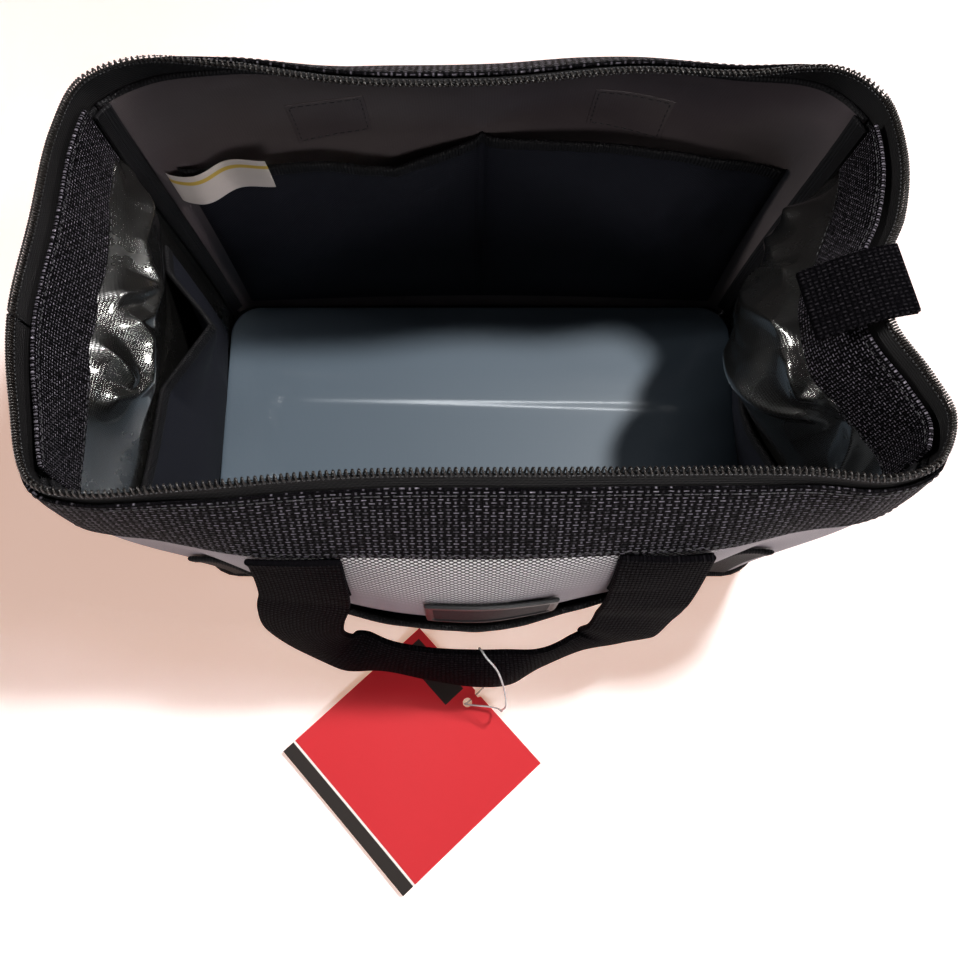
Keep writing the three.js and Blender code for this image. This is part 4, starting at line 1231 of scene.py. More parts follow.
class TOOLBAG_OT_tag_loop(bpy.types.Operator):
    """Makes the clear nylon loop that ties the hang tag to the front handle"""

    bl_idname = "tool_bag.tag_loop"
    bl_label = "Tag loop"

    def execute(self, context):
        grip = FRONT_PIVOT + Vector((0, -trim_sizes().handle_reach, -trim_sizes().handle_drop))
        hole = Vector((*turned_on_tag(TAG_HOLE.x, TAG_HOLE.y), 0))
        edge_out = Vector((-math.sin(TAG_TURN), math.cos(TAG_TURN), 0))
        band = Vector((0, 0.358, 0.934))
        off_band = Vector((0, -0.934, 0.358))

        def beside_grip(x, up, off):
            return grip + (Vector((x, 0, 0)) + band * up + off_band * off) / 1000

        def below(x, y, share):
            return Vector((grip.x + x / 1000, grip.y + y / 1000, share * grip.z))

        def past(along, z):
            return hole + edge_out * (along / 1000) + Vector((0, 0, z / 1000))

        route = [
            below(11, -17, 0.43), below(13, -15, 0.67), beside_grip(12, -8, 5.8), beside_grip(8, 11.7, 4.2),
            beside_grip(3, 20.3, 2.0), beside_grip(0, 20.5, -2.7), beside_grip(0, 8.2, -6.3),
            below(1, 5, 0.6), past(11.4, 12), past(10.4, 3), past(7.4, 0.8), past(2.5, 0.8),
            past(0, 2.2), past(-1.5, 7), below(8, -15, 0.23), below(11.3, -17.3, 0.41),
        ]
        line = smooth_line(route, 220)
        loop = tube("tag_loop_cord", line, CORD / 2, 8, clear_nylon())
        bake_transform(loop)
        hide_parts("tag_loop")
        return {"FINISHED"}


def slack(places, side, down, share):
    """Small soft ripples of the outer cloth, always inwards, calm where something is sewn on."""
    calm = smoothstep(0.050, 0.075, down) * hill(0, 0.08, 0.92, 1, share)
    waves = rough(places, 16, side) + 0.4 * rough(places, 45, side + 9)
    return -0.0011 * (0.6 + 0.5 * waves) * calm


# Creases of the coated lining at the ends: points as a share along the wall and millimetres down
CREASES = {
    RIGHT: (
        ((0.99, 58), (0.958, 72)), ((0.975, 86), (0.90, 74), (0.842, 66)),
        ((0.975, 122), (0.883, 114), (0.875, 129), (0.825, 131), (0.75, 118)),
        ((0.95, 108), (0.825, 88), (0.717, 64)), ((0.75, 118), (0.542, 59), (0.45, 43)),
        ((0.42, 40), (0.39, 47), (0.34, 52), (0.317, 46)),
        ((0.292, 44), (0.225, 41), (0.183, 58), (0.15, 72)),
        ((0.62, 52), (0.66, 70), (0.60, 92)), ((0.30, 60), (0.38, 74), (0.50, 88)),
    ),
    LEFT: (
        ((0.067, 22), (0.1, 28), (0.125, 36), (0.192, 38)), ((0.008, 42), (0.033, 33), (0.083, 44)),
        ((0.02, 56), (0.1, 60), (0.183, 61), (0.275, 56), (0.33, 60), (0.367, 68)),
        ((0.458, 40), (0.42, 50), (0.367, 68)),
        ((0.367, 68), (0.45, 64), (0.483, 57), (0.508, 66), (0.60, 74)),
        ((0.60, 74), (0.65, 68), (0.683, 58)), ((0.575, 46), (0.592, 53), (0.625, 62)),
    ),
}

# The loose belly of the lining at each end: where it starts and stops along the wall, how far it stands
# in, the middle and the width of it down the wall, and how far down the loose part goes
BELLIES = {
    RIGHT: (0.22, 0.45, 0.84, 0.98, 0.014, 0.076, 0.030, 0.120),
    LEFT: (0.02, 0.16, 0.56, 0.80, 0.011, 0.068, 0.024, 0.100),
}
CREASE_HEIGHT = 0.0056
CREASE_WIDTH = 0.0046
CREASE_ROUNDING = 0.0010


def distance_to(points, x, y):
    """How far places on a flat cloth are from a line of points on it."""
    nearest = np.full(len(x), np.inf)
    for (x0, y0), (x1, y1) in zip(points, points[1:]):
        run, rise = x1 - x0, y1 - y0
        share = np.clip(((x - x0) * run + (y - y0) * rise) / (run * run + rise * rise), 0, 1)
        nearest = np.minimum(nearest, np.hypot(x - x0 - share * run, y - y0 - share * rise))
    return nearest


def crumpled(places, side, down, share):
    """How far the coated lining of an end stands inwards: a loose belly with sharp creases on it."""
    *belly, depth, middle, width, end = BELLIES[side]
    open_part = hill(0.036, 0.050, end - 0.014, end, down) * hill(0.0, 0.05, 0.95, 1.0, share)
    length = the_wall().side_length(side)
    height = np.zeros(len(down))
    for points in CREASES[side]:
        metres = [(x * length, y / 1000) for x, y in points]
        wander = 0.0015 * rough(places, 60, side + 3)
        near = distance_to(metres, share * length + wander, down - wander)
        ridge = CREASE_HEIGHT * np.exp(-np.hypot(near, CREASE_ROUNDING) / CREASE_WIDTH)
        height = np.maximum(height, ridge)
    height += 0.0004 * rough(places, 30, side + 5)
    height += depth * bump_at(down, middle, width) * hill(*belly, share)
    return height * open_part


def lining_folds(places, side, down, share):
    """Soft diagonal folds of the lining on the long walls."""
    open_part = hill(0.020, 0.034, 0.075, 0.10, down) * hill(0.02, 0.10, 0.90, 0.98, share)
    slanted = places @ np.array([[1.0, 0.0, 0.0], [0.0, 1.0, 0.0], [0.8, 0.0, 0.5]])
    return (0.0011 + 0.0012 * rough(slanted, 26, side)) * open_part


class TOOLBAG_OT_walls(bpy.types.Operator):
    """Makes the four padded walls, each with its outer cloth and its coated lining"""

    bl_idname = "tool_bag.walls"
    bl_label = "Walls"

    def execute(self, context):
        wall = the_wall()
        size = shape_sizes()
        top = trim_sizes().panel_top
        outer = (grey_cloth(), black_cloth(), grey_cloth(), black_cloth())
        inner = (pale_lining(), black_vinyl(), painted_shade_lining(), black_vinyl())
        for side, name in enumerate(("front_panel", "right_end_panel", "back_panel", "left_end_panel")):
            stations = (side + SEAM_SHARE, side + 1 - SEAM_SHARE)
            is_end = side % 2 == 1

            def outside(station, down, along, fall, side=side):
                return slack(wall.at(station, down), side, down, along)

            def inside(station, down, along, fall, side=side, is_end=is_end):
                places = wall.at(station, down)
                loose = crumpled if is_end else lining_folds
                return slack(places, side, down, along) - size.wall - loose(places, side, down, along)

            columns, rows = (190, 150) if is_end else (220, 110)
            piece = wall_sheet(
                name + "_cloth",
                stations,
                (top, lambda station, along: wall.slant_at(station)),
                (outside, inside),
                [outer[side], inner[side]],
                columns,
                rows,
                edge=0.0016,
            )
            piece.data.materials.append(binding())
            flat = piece.data.uv_layers["Flat"].data
            for polygon in piece.data.polygons:
                if max(flat[i].uv.y for i in polygon.loop_indices) < top + BOUND_EDGE:
                    polygon.material_index = 2
            on_bag(piece, "grey_cloth" if not is_end else "black_cloth", name)
            length, height = length_between(stations), float(np.mean(wall.slants)) - top
            area = cloth_area(piece)
            longer = max(1.0, area / (length * height))
            flat_size = (length * longer, height)
        return {"FINISHED"}


def in_rounded_corner(x, y, length, depth, radius):
    """Maps a rectangle's points into one with rounded corners."""
    inner_x, inner_y = length / 2 - radius, depth / 2 - radius
    a = np.clip((np.abs(x) - inner_x) / radius, 0, 1)
    b = np.clip((np.abs(y) - inner_y) / radius, 0, 1)
    both = (a > 0) & (b > 0)
    new_x = np.where(both, inner_x + radius * a * np.sqrt(1 - b**2 / 2), np.abs(x))
    new_y = np.where(both, inner_y + radius * b * np.sqrt(1 - a**2 / 2), np.abs(y))
    return np.sign(x) * new_x, np.sign(y) * new_y


class TOOLBAG_OT_base(bpy.types.Operator):
    """Makes the base with its piping, and the coated lining that lies on the board"""

    bl_idname = "tool_bag.base"
    bl_label = "Base and floor"

    def execute(self, context):
        size = shape_sizes()
        thick = 0.0025
        edge = 0.0012

        def plate(name, length, depth, radius, low, high, columns, rows, materials, wavy=0.0):
            def place(u, v, w):
                x = (crowded(u, columns, length, edge) - 0.5) * length
                y = (crowded(v, rows, depth, edge) - 0.5) * depth
                beside = np.minimum(length / 2 - np.abs(x), depth / 2 - np.abs(y))
                x, y = in_rounded_corner(x, y, length, depth, radius)
                half = (high - low) / 2 * rounded(beside, edge)
                z = (high + low) / 2 + (2 * w - 1) * half
                if wavy:
                    places = np.column_stack([x, y, np.zeros(len(x))])
                    waves = 0.5 + 0.5 * rough(places * np.array([0.6, 1.4, 1]), 15, 3)
                    z = z + wavy * waves * smoothstep(0, 0.02, beside)
                    past = y - 0.0160 + 0.02 * x - 0.0004 * rough(places, 9, 8)
                    crease = (1 + np.tanh(past / 0.004)) * (1 - smoothstep(0.012, 0.050, past))
                    z = z + 0.00043 * crease * smoothstep(0.01, 0.05, beside)
                return np.column_stack([x, y, z])

            return slab(name, columns, rows, place, lambda u, v: (u * length, v * depth), materials)

        base = plate(
            "base_cloth", size.base_length, size.base_depth, size.base_corner, 0.0, thick, 60, 40,
            [black_cloth()],
        )
        on_bag(base, "black_cloth", "base_panel")
        inset = 2 * (size.wall + 0.002)
        length, depth = size.base_length - inset, size.base_depth - inset
        lining = plate(
            "floor_lining_sheet", length, depth, size.base_corner - inset / 4, *FLOOR_HEIGHTS, 150, 170,
            [floor_vinyl()], wavy=0.00012,
        )
        on_bag(lining, "grey_vinyl", "floor_lining")
        foot = the_wall().foot_at(np.linspace(0, 4, 241))
        foot[:, 2] = thick + 0.0004
        middle = foot.mean(axis=0)
        foot[:, :2] = middle[:2] + (foot[:, :2] - middle[:2]) * 1.004
        piping = tube("base_piping", foot, 0.0017, 10, binding(), closed_ends=False)
        on_bag(piping, "binding")
        return {"FINISHED"}


def halves():
    """The stations between which the zip's two halves run, and which of their ends is at the slider."""
    wall = the_wall()
    parting = wall.station_of(*RIM_PARTING)
    pinch = wall.station_of(*RIM_PINCH)
    return {"front": (parting - 4, pinch, True), "back": (pinch, parting, False)}


def between(start, stop, clear_start, clear_stop):
    wall = the_wall()
    return wall.along(start, clear_start), wall.along(stop, -clear_stop)


class TOOLBAG_OT_bands(bpy.types.Operator):
    """Makes the wide webbing sewn round the outside of the mouth"""

    bl_idname = "tool_bag.bands"
    bl_label = "Mouth bands"

    def execute(self, context):
        sizes = trim_sizes()
        for name, (start, stop, slider_first) in halves().items():
            clear = (RUN_CLEAR, GAP) if slider_first else (GAP, RUN_CLEAR)
            stations = between(start, stop, *clear)
            top, foot = sizes.band_drop, sizes.band_drop + sizes.band_width

            def wavy(level, seed):
                def down(station, along):
                    places = the_wall().at(station, np.full(len(station), level))
                    return level + 0.0005 * rough(places, 38, seed)

                return down

            def outside(lift):
                def out(station, down, along, fall):
                    places = the_wall().at(station, down)
                    ripple = 0.0004 * rough(places, 30, 4) * smoothstep(0, 0.4, fall)
                    return lift + GAP + np.maximum(ripple, -0.0001)

                return out

            band = wall_sheet(
                name + "_band_webbing", stations, (wavy(top, 1), wavy(foot, 2)),
                (outside(0), outside(sizes.webbing)), [webbing()], 300, 26, edge=0.0009,
            )
            on_bag(band, "webbing", name + "_band")
            rows = (top + ROW_INSET, foot - ROW_INSET)
            sew_along(name + "_band", stations, 0.01, 400, rows, GAP + sizes.webbing + 0.0001)
        return {"FINISHED"}


class TOOLBAG_OT_zip(bpy.types.Operator):
    """Makes the coil zip round the mouth: smooth tape, nylon coil and its sewing thread"""

    bl_idname = "tool_bag.zip"
    bl_label = "Zip"

    def execute(self, context):
        sizes = trim_sizes()
        middle_out = sum(TAPE_OUTS) / 2
        for name, (start, stop, _) in halves().items():
            stations = between(start, stop, 2 * GAP, 2 * GAP)
            tape = wall_sheet(
                name + "_zip_tape_cloth", stations, (sizes.tape_shows - 0.0016, sizes.panel_top - GAP),
                TAPE_OUTS, [zip_tape()], 260, 14, edge=0.0004,
            )
            on_bag(tape, "zip_tape", name + "_zip_tape")
            length = (stations[1] - stations[0]) * the_wall().rim_length / 4
            turns = int(length / sizes.coil_pitch)
            step = np.arange(turns * 10 + 1) / 10
            places = stations[0] + (stations[1] - stations[0]) * step / turns
            angle = 2 * math.pi * step
            half = sizes.tape_shows / 2
            downs = half - (half - sizes.coil_wire * 0.6) * np.cos(angle)
            outs = middle_out + COIL_SWING * np.sin(angle)
            place, _, normal = the_wall().frame_at(places, downs)
            coil = tube(name + "_zip_coil", place + normal * outs[:, None], sizes.coil_wire, 5, zip_coil())
            on_bag(coil, "zip_coil", name + "_zip_teeth")
            for hand, face in (("outer", 1), ("inner", -1)):
                row = np.linspace(*stations, 400)
                line, normals = wall_line(row, sizes.tape_shows - 0.0013, middle_out + face * 0.00125)
                length = sizes.coil_pitch / STITCH_STEP
                sewn = stitches(f"{name}_zip_{hand}_sewing", line, normals, thread(), length, 0.0003)
                on_bag(sewn, "zip_tape")
        return {"FINISHED"}


class TOOLBAG_OT_closed_run(bpy.types.Operator):
    """Makes the short closed stretch of zip at the left end, with its stop tab, slider and pull"""

    bl_idname = "tool_bag.closed_run"
    bl_label = "Closed run and slider"

    def execute(self, context):
        sizes = trim_sizes()
        along, up, out = (np.array(v) for v in (RUN_ALONG, RUN_UP, RUN_OUT))
        origin = np.array(RUN_PLACE)

        def at(x, y, z):
            return origin + np.outer(x, along) + np.outer(y, up) + np.outer(z, out)

        def patch(name, width, low, high, middle, thick, columns, rows, material, edge):
            height = high - low

            def place(u, v, w):
                x = (crowded(u, columns, width, edge) - 0.5) * width
                y = low + crowded(v, rows, height, edge) * height
                beside = np.minimum(width / 2 - np.abs(x), np.minimum(y - low, high - y))
                return at(x, y, middle + (2 * w - 1) * thick / 2 * rounded(beside, edge))

            return slab(name, columns, rows, place, lambda u, v: (u * width, v * height), [material])

        tape = patch("closed_run_tape", *RUN_TAPE, 0.0, RUN_TAPE_CLOTH, 30, 30, zip_tape(), 0.0004)
        step = np.arange(RUN_TURNS * 12 + 1) / 12
        angle = 2 * math.pi * step
        coils = []
        for hand, word, late in ((-1, "left", 0), (1, "right", 0.5)):
            x = hand * (0.0012 - 0.0020 * np.cos(angle))
            y = -0.003 - (step + late) * sizes.coil_pitch
            line = at(x, y, 0.00085 * np.sin(angle))
            coils.append(tube("closed_coil_" + word, line, sizes.coil_wire, 6, zip_coil()))
        whole = join("closed_zip_run", [tape, *coils])
        on_bag(whole, "zip_coil", "zip_closed_run")
        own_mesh(whole)
        stop = patch("zip_stop_webbing", *RUN_STOP, 0.0017, sizes.webbing, 40, 18, webbing(), 0.0008)
        on_bag(stop, "webbing", "zip_bottom_stop")

        def on_stop(x, y):
            return at(x, y, np.full(len(x), 0.0027)), np.tile(out, (len(x), 1))

        sew("zip_stop", outline(0.0115, -0.047, -0.039), on_stop, length=0.0022, radius=0.0002)
        kept = {"zip_slider": dark_metal(), "slider_pull": dark_metal(), "base_board": stiff_board()}
        for node, material in kept.items():
            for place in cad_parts[node].material_slots:
                place.material = material
        return {"FINISHED"}


def join(name, pieces):
    """One object from several that share their finishes."""
    work = bmesh.new()
    materials = []
    for piece in pieces:
        part = bmesh.new()
        part.from_mesh(piece.data)
        for material in piece.data.materials:
            if material not in materials:
                materials.append(material)
        index = materials.index(piece.data.materials[0])
        for face in part.faces:
            face.material_index = index
        joined = bpy.data.meshes.new("part")
        part.to_mesh(joined)
        part.free()
        work.from_mesh(joined)
        bpy.data.meshes.remove(joined)
        old = piece.data
        bpy.data.objects.remove(piece)
        bpy.data.meshes.remove(old)
    return new_object(name, mesh_from(work, name), *materials)


class TOOLBAG_OT_strips(bpy.types.Operator):
    """Makes the webbing inside the ends, the bound corner seams and the folded tab over the zip's end"""

    bl_idname = "tool_bag.strips"
    bl_label = "Strips, seams and tab"

    def execute(self, context):
        wall = the_wall()
        sizes = trim_sizes()
        top = sizes.band_drop + 0.001
        for name, side in (("right_end_strip", RIGHT), ("left_end_strip", LEFT)):
            stations = tuple(side + share for share in STRIP_SIDES)

            def out(lift, side=side):
                def value(station, down, along, fall):
                    places = wall.at(station, down)
                    return INSIDE - lift - 0.0006 * (0.5 + 0.5 * rough(places, 28, side))

                return value

            foot = top + sizes.band_width
            strip = wall_sheet(
                name + "_webbing", stations, (top, foot), (out(0), out(sizes.webbing)), [webbing()], 130, 26,
                edge=0.0009,
            )
            on_bag(strip, "webbing", name)
            rows = (top + STRIP_ROW_INSET, foot - STRIP_ROW_INSET)
            sew_along(name, stations, 0.02, 200, rows, INSIDE - sizes.webbing - 0.0007)
        names = ("front_left_seam", "front_right_seam", "back_right_seam", "back_left_seam")
        for corner, name in enumerate(names):
            before, after = (SEAM_HALF / wall.side_length(side) for side in (corner + 3, corner))
            seam = wall_sheet(
                name + "_binding", (corner - before, corner + after),
                (sizes.panel_top, lambda station, along: wall.slant_at(station) - 0.008),
                (INSIDE, INSIDE - 0.0022), [binding()], 16, 110, edge=0.0010,
            )
            on_bag(seam, "binding", name)
        self.add_tab()
        return {"FINISHED"}

    def add_tab(self):
        wall = the_wall()
        pinch = wall.station_of(*RIM_PINCH)
        middle = wall.at(np.array([pinch]), np.array([0.0]))[0]
        bend = ((5, 3.3), (-4, 3.4), (-15, 0.6), (-29, -6))
        line = smooth_line([middle + np.array((x, x * 0.2, z)) / 1000 for x, z in bend], 60)
        ahead = unit_rows(np.gradient(line, axis=0))
        across = np.tile(np.array((0.2, -1.0, 0.0)) / math.hypot(0.2, 1), (len(line), 1))
        up = np.cross(across, ahead)
        up *= np.sign(up[:, 2:3])
        layer = 0.00092
        angles = np.array((0.6, 1.2, 1.57, 1.9, 2.5))[:, None]
        turn = line[-1] + ahead[-1] * layer * np.sin(angles) + up[-1] * layer * np.cos(angles)
        folded = np.vstack([line + up * layer, turn, (line - up * layer)[::-1]])
        tab = strap(
            "zip_end_tab_webbing", folded, np.tile(across[0], (len(folded), 1)), 0.029, 0.0017, 0.0,
            handle_webbing(),
        )
        on_bag(tab, "webbing", "zip_end_tab")


def lobe(count, fullness, round_it, fall):
    return np.abs(np.sin(count * math.pi * round_it)) ** fullness * (1 - fall**4)


def folded_corner(round_it, fall):
    """The left inner pocket's edge stands off the wall in one sharp corner that runs out below."""
    off = np.clip(1 - np.abs(round_it - 0.36) / np.where(round_it < 0.36, 0.25, 0.24), 0, 1)
    return (0.06 + 0.94 * off**1.15) * (1 - 0.75 * smoothstep(0, 0.45, fall)) * (1 - fall**4)


class TOOLBAG_OT_pockets(bpy.types.Operator):
    """Makes the inner and outer pockets with their bound top edges"""

    bl_idname = "tool_bag.pockets"
    bl_label = "Pockets"

    def execute(self, context):
        wall = the_wall()
        for name, (side, top, shares, puff, count, direction, fullness) in POCKETS.items():
            stations = tuple(side + share for share in shares)
            base = 0.0007 if direction > 0 else INSIDE
            sags = side == BACK and direction < 0

            def level(extra, top=top, sags=sags):
                def down(station, along):
                    sag = np.interp(along, *zip(*BACK_POCKET_SAG)) if sags else 0
                    return np.full(len(station), top + extra) + sag

                return down

            def near(
                station, down, along, fall, side=side, puff=puff, count=count, fullness=fullness,
                direction=direction, base=base,
            ):
                places = wall.at(station, down)
                free = lobe(count, fullness, along, fall)
                if side == LEFT and direction < 0:
                    free = folded_corner(along, fall)
                folds = 0.0010 * rough(places, 40, side + 20) + 0.0006 * rough(places, 90, side + 30)
                return base + direction * (puff + folds) * free

            def far(station, down, along, fall, near=near, direction=direction):
                return near(station, down, along, fall) + direction * POCKET_CLOTH

            def foot(station, along):
                return wall.slant_at(station) - POCKET_FOOT

            def edge_out(off, near=near, direction=direction):
                def out(station, down, along, fall):
                    return near(station, down, along, np.zeros_like(fall)) + direction * off

                return out

            finish, slot_name = black_cloth(), "black_cloth"
            if direction < 0:
                finish, slot_name = pocket_lining(), "black_lining"
            columns = 150 if side % 2 == 0 else 90
            pocket = wall_sheet(
                name + "_cloth", stations, (level(0), foot), (near, far), [finish], columns, 50, edge=0.0006
            )
            on_bag(pocket, slot_name, name)
            edge_outs = (edge_out(-POCKET_BINDING), edge_out(POCKET_CLOTH + POCKET_BINDING))
            bound = wall_sheet(
                name + "_edge_binding", stations, (level(-0.0016), level(0.0052)), edge_outs, [binding()],
                columns, 12, edge=0.0013,
            )
            on_bag(bound, "binding", name + "_binding")
            length = length_between(stations)
            flat = (length, cloth_area(pocket) / length)
        return {"FINISHED"}


class TOOLBAG_OT_handles(bpy.types.Operator):
    """Makes the two webbing handles and the feet that they are sewn to"""

    bl_idname = "tool_bag.handles"
    bl_label = "Handles"

    # The webbing's two edges from the left hinge to the right one, in millimetres off the hinge's middle
    edges = (
        ((-55.4, -10.0, -33.6), (-94.5, -6.5, -33.6)),
        ((-59.6, -14.2, -49.6), (-98.4, -10.4, -49.6)),
        ((-63.4, -18.0, -65.6), (-98.7, -17.2, -79.5)),
        ((-63.0, -19.0, -76.6), (-84.3, -25.7, -107.3)),
        ((-57.7, -17.8, -82.6), (-65.3, -33.2, -116.4)),
        ((-45.1, -22.6, -85.6), (-48.3, -32.8, -122.0)),
        ((-23.8, -26.2, -87.6), (-25.5, -37.2, -123.9)),
        ((0.0, -27.1, -87.6), (-1.0, -40.7, -123.1)),
        ((16.6, -26.6, -87.6), (15.2, -39.2, -123.4)),
        ((33.2, -25.6, -86.6), (29.7, -30.1, -124.1)),
        ((45.4, -21.0, -83.6), (52.1, -21.3, -121.0)),
        ((53.4, -17.4, -77.6), (69.3, -19.8, -112.0)),
        ((53.1, -14.7, -66.6), (81.0, -18.6, -92.0)),
        ((51.9, -11.3, -54.6), (88.8, -11.9, -63.2)),
        ((52.4, -10.4, -42.6), (90.3, -9.4, -42.6)),
        ((53.4, -8.4, -31.6), (91.6, -6.4, -31.6)),
    )

    def execute(self, context):
        wall = the_wall()
        sizes = trim_sizes()
        sides = (("front", FRONT, -1, FRONT_PIVOT), ("back", BACK, 1, BACK_PIVOT))
        for name, side, outwards, pivot in sides:
            half = sizes.handle_width / 2 / wall.side_length(side)
            roots = []
            for hand, word in ((-1, "left"), (1, "right")):
                station = wall.station_at_x(side, hand * sizes.handle_spread / 2, HANDLE_PIVOT_DOWN)
                foot = wall_sheet(
                    f"{name}_handle_{word}_foot_webbing", (station - half, station + half),
                    FOOT_SPAN, (LIE, LIE + sizes.webbing), [handle_webbing()], 40, 32, edge=0.0009,
                )
                on_bag(foot, "webbing", f"{name}_handle_{word}_foot")
                self.sew_box(f"{name}_{word}_foot", station, half, LIE + sizes.webbing + 0.0001)
                self.patch_inside(f"{name}_{word}_inside", side, station, half)
                roots.append(wall.at([station], [HANDLE_ROOT_DOWN], HANDLE_OFF_WALL)[0])
            half_width = np.array((sizes.handle_width / 2, 0, 0))
            near = []
            for hand, root in zip((-1, 1), roots):
                hinge = np.array(pivot) + (hand * sizes.handle_spread / 2, 0, 0)
                pairs = [np.hstack([p - half_width * hand, p + half_width * hand]) for p in (root, hinge)]
                near.append(pairs[::-hand])
            near_left, near_right = near
            turned = np.array((-outwards, -outwards, 1)) / 1000
            free = [
                np.hstack([np.array(pivot) + turned * inner, np.array(pivot) + turned * outer])
                for inner, outer in self.edges[::-outwards]
            ]
            pairs = smooth_line(near_left + free + near_right, 220)
            edges = (pairs[:, :3], pairs[:, 3:])
            inner, outer = (self.kept_off(points, side, HANDLE_OFF_WALL) for points in edges)
            across = inner - outer
            width = np.linalg.norm(across, axis=1)
            share = np.linspace(0, 1, len(pairs))
            bent = smoothstep(0.16, 0.34, np.minimum(share, 1 - share))
            waves = 0.0006 * rough(pairs[:, :3], 30, side)
            handle = strap(
                name + "_handle_webbing", (inner + outer) / 2, across * -outwards, width, HANDLE_THICKNESS,
                0.0006 + 0.0026 * bent + waves, handle_webbing(), rows=22,
            )
            root = np.mean(roots, axis=0)
            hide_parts(name + "_handle")
            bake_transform(handle)
        return {"FINISHED"}

    def kept_off(self, points, side, room):
        """Moves points that would touch a long wall straight out of it."""
        wall = the_wall()
        sign = -1 if side == FRONT else 1
        face = wall.places[side * wall.columns : (side + 1) * wall.columns].reshape(-1, 3)
        beside = [face[np.argmin((face[:, 0] - x) ** 2 + (face[:, 2] - z) ** 2), 1] for x, _, z in points]
        moved = points.copy()
        moved[:, 1] = sign * np.maximum(sign * points[:, 1], sign * np.array(beside) + room)
        return moved

    def sew_box(self, name, station, half, out):
        """A square of stitches with a cross in it."""
        wide = half * 0.86
        low, high = FOOT_BOX
        cross = [((-wide, low), (wide, high)), ((wide, low), (-wide, high))]
        legs = outline(wide, low, high) + cross
        sew(name + "_box", legs, lambda x, down: wall_line(station + x, down, out))

    def patch_inside(self, name, side, station, half):
        """The square of lining that backs a handle's foot, with its row of stitches."""
        wall = the_wall()
        low, high = INNER_PATCH

        def on_lining(lift):
            def out(station, down, along, fall):
                places = wall.at(station, down)
                share = station - side
                loose = slack(places, side, down, share) - lining_folds(places, side, down, share)
                return loose - shape_sizes().wall - lift

            return out

        patch = wall_sheet(
            name + "_patch", (station - half, station + half), (low, high),
            (on_lining(-0.0002), on_lining(0.0005)), [painted_shade_lining()], 36, 36, edge=0.0004,
        )
        on_bag(patch, "grey_vinyl")

        def on_patch(x, down):
            place, _, normal = wall.frame_at(station + x, down)
            return place + normal * on_lining(0.0007)(station + x, down, x, x)[:, None], -normal

        sew(name, outline(half * 0.9, low + PATCH_SEAM, high - PATCH_SEAM), on_patch)


class TOOLBAG_OT_badge(bpy.types.Operator):
    """Makes the bare rubber patch on the front and the blank label inside"""

    bl_idname = "tool_bag.badge"
    bl_label = "Badge and label"

    def execute(self, context):
        wall = the_wall()
        top, foot = BADGE_DOWN
        middle = wall.station_at_x(FRONT, 0.005, top)
        half = BADGE_WIDTH / 2 / wall.side_length(FRONT)

        def face(station, down, along, fall):
            across, up = np.minimum(along, 1 - along), np.minimum(fall, 1 - fall)
            beside = np.minimum(across * BADGE_WIDTH, up * (foot - top))
            frame_part = 1 - smoothstep(0.0024, 0.0030, beside)
            return GAP + 0.0012 + 0.0008 * frame_part

        badge = wall_sheet(
            "front_patch", (middle - half, middle + half), BADGE_DOWN, (GAP, face), [badge_rubber()], 90, 60,
            edge=0.0007,
        )
        badge.data.materials.append(badge_edge())
        uv = badge.data.uv_layers["Flat"].data
        left = min(c.uv.x for c in uv)
        right = max(c.uv.x for c in uv)
        for polygon in badge.data.polygons:
            x = sum(uv[i].uv.x for i in polygon.loop_indices) / polygon.loop_total
            y = sum(uv[i].uv.y for i in polygon.loop_indices) / polygon.loop_total
            if min(x - left, right - x, y - top, foot - y) < BADGE_RIM:
                polygon.material_index = 1
        on_bag(badge, "badge_rubber", "front_badge")

        def curl(station, down, along, fall):
            free = 1 - along
            return INSIDE - 0.0008 - 0.0165 * np.sqrt(free) - 0.0018 * np.sin(2.4 * math.pi * free)

        def top_edge(station, along):
            return 0.0715 + 0.004 * along - 0.0015 * np.sin(2 * math.pi * along)

        label = wall_sheet(
            "blank_label", tuple(BACK + share for share in LABEL_SHARES),
            (top_edge, lambda *at: top_edge(*at) + LABEL_DEPTH), (curl, lambda *at: curl(*at) - LABEL_CLOTH),
            [label_cloth()], 70, 36, edge=0.0002,
        )
        count_from_edge(label, LABEL_DEPTH)
        on_bag(label, "label_cloth", "sewn_label")
        return {"FINISHED"}


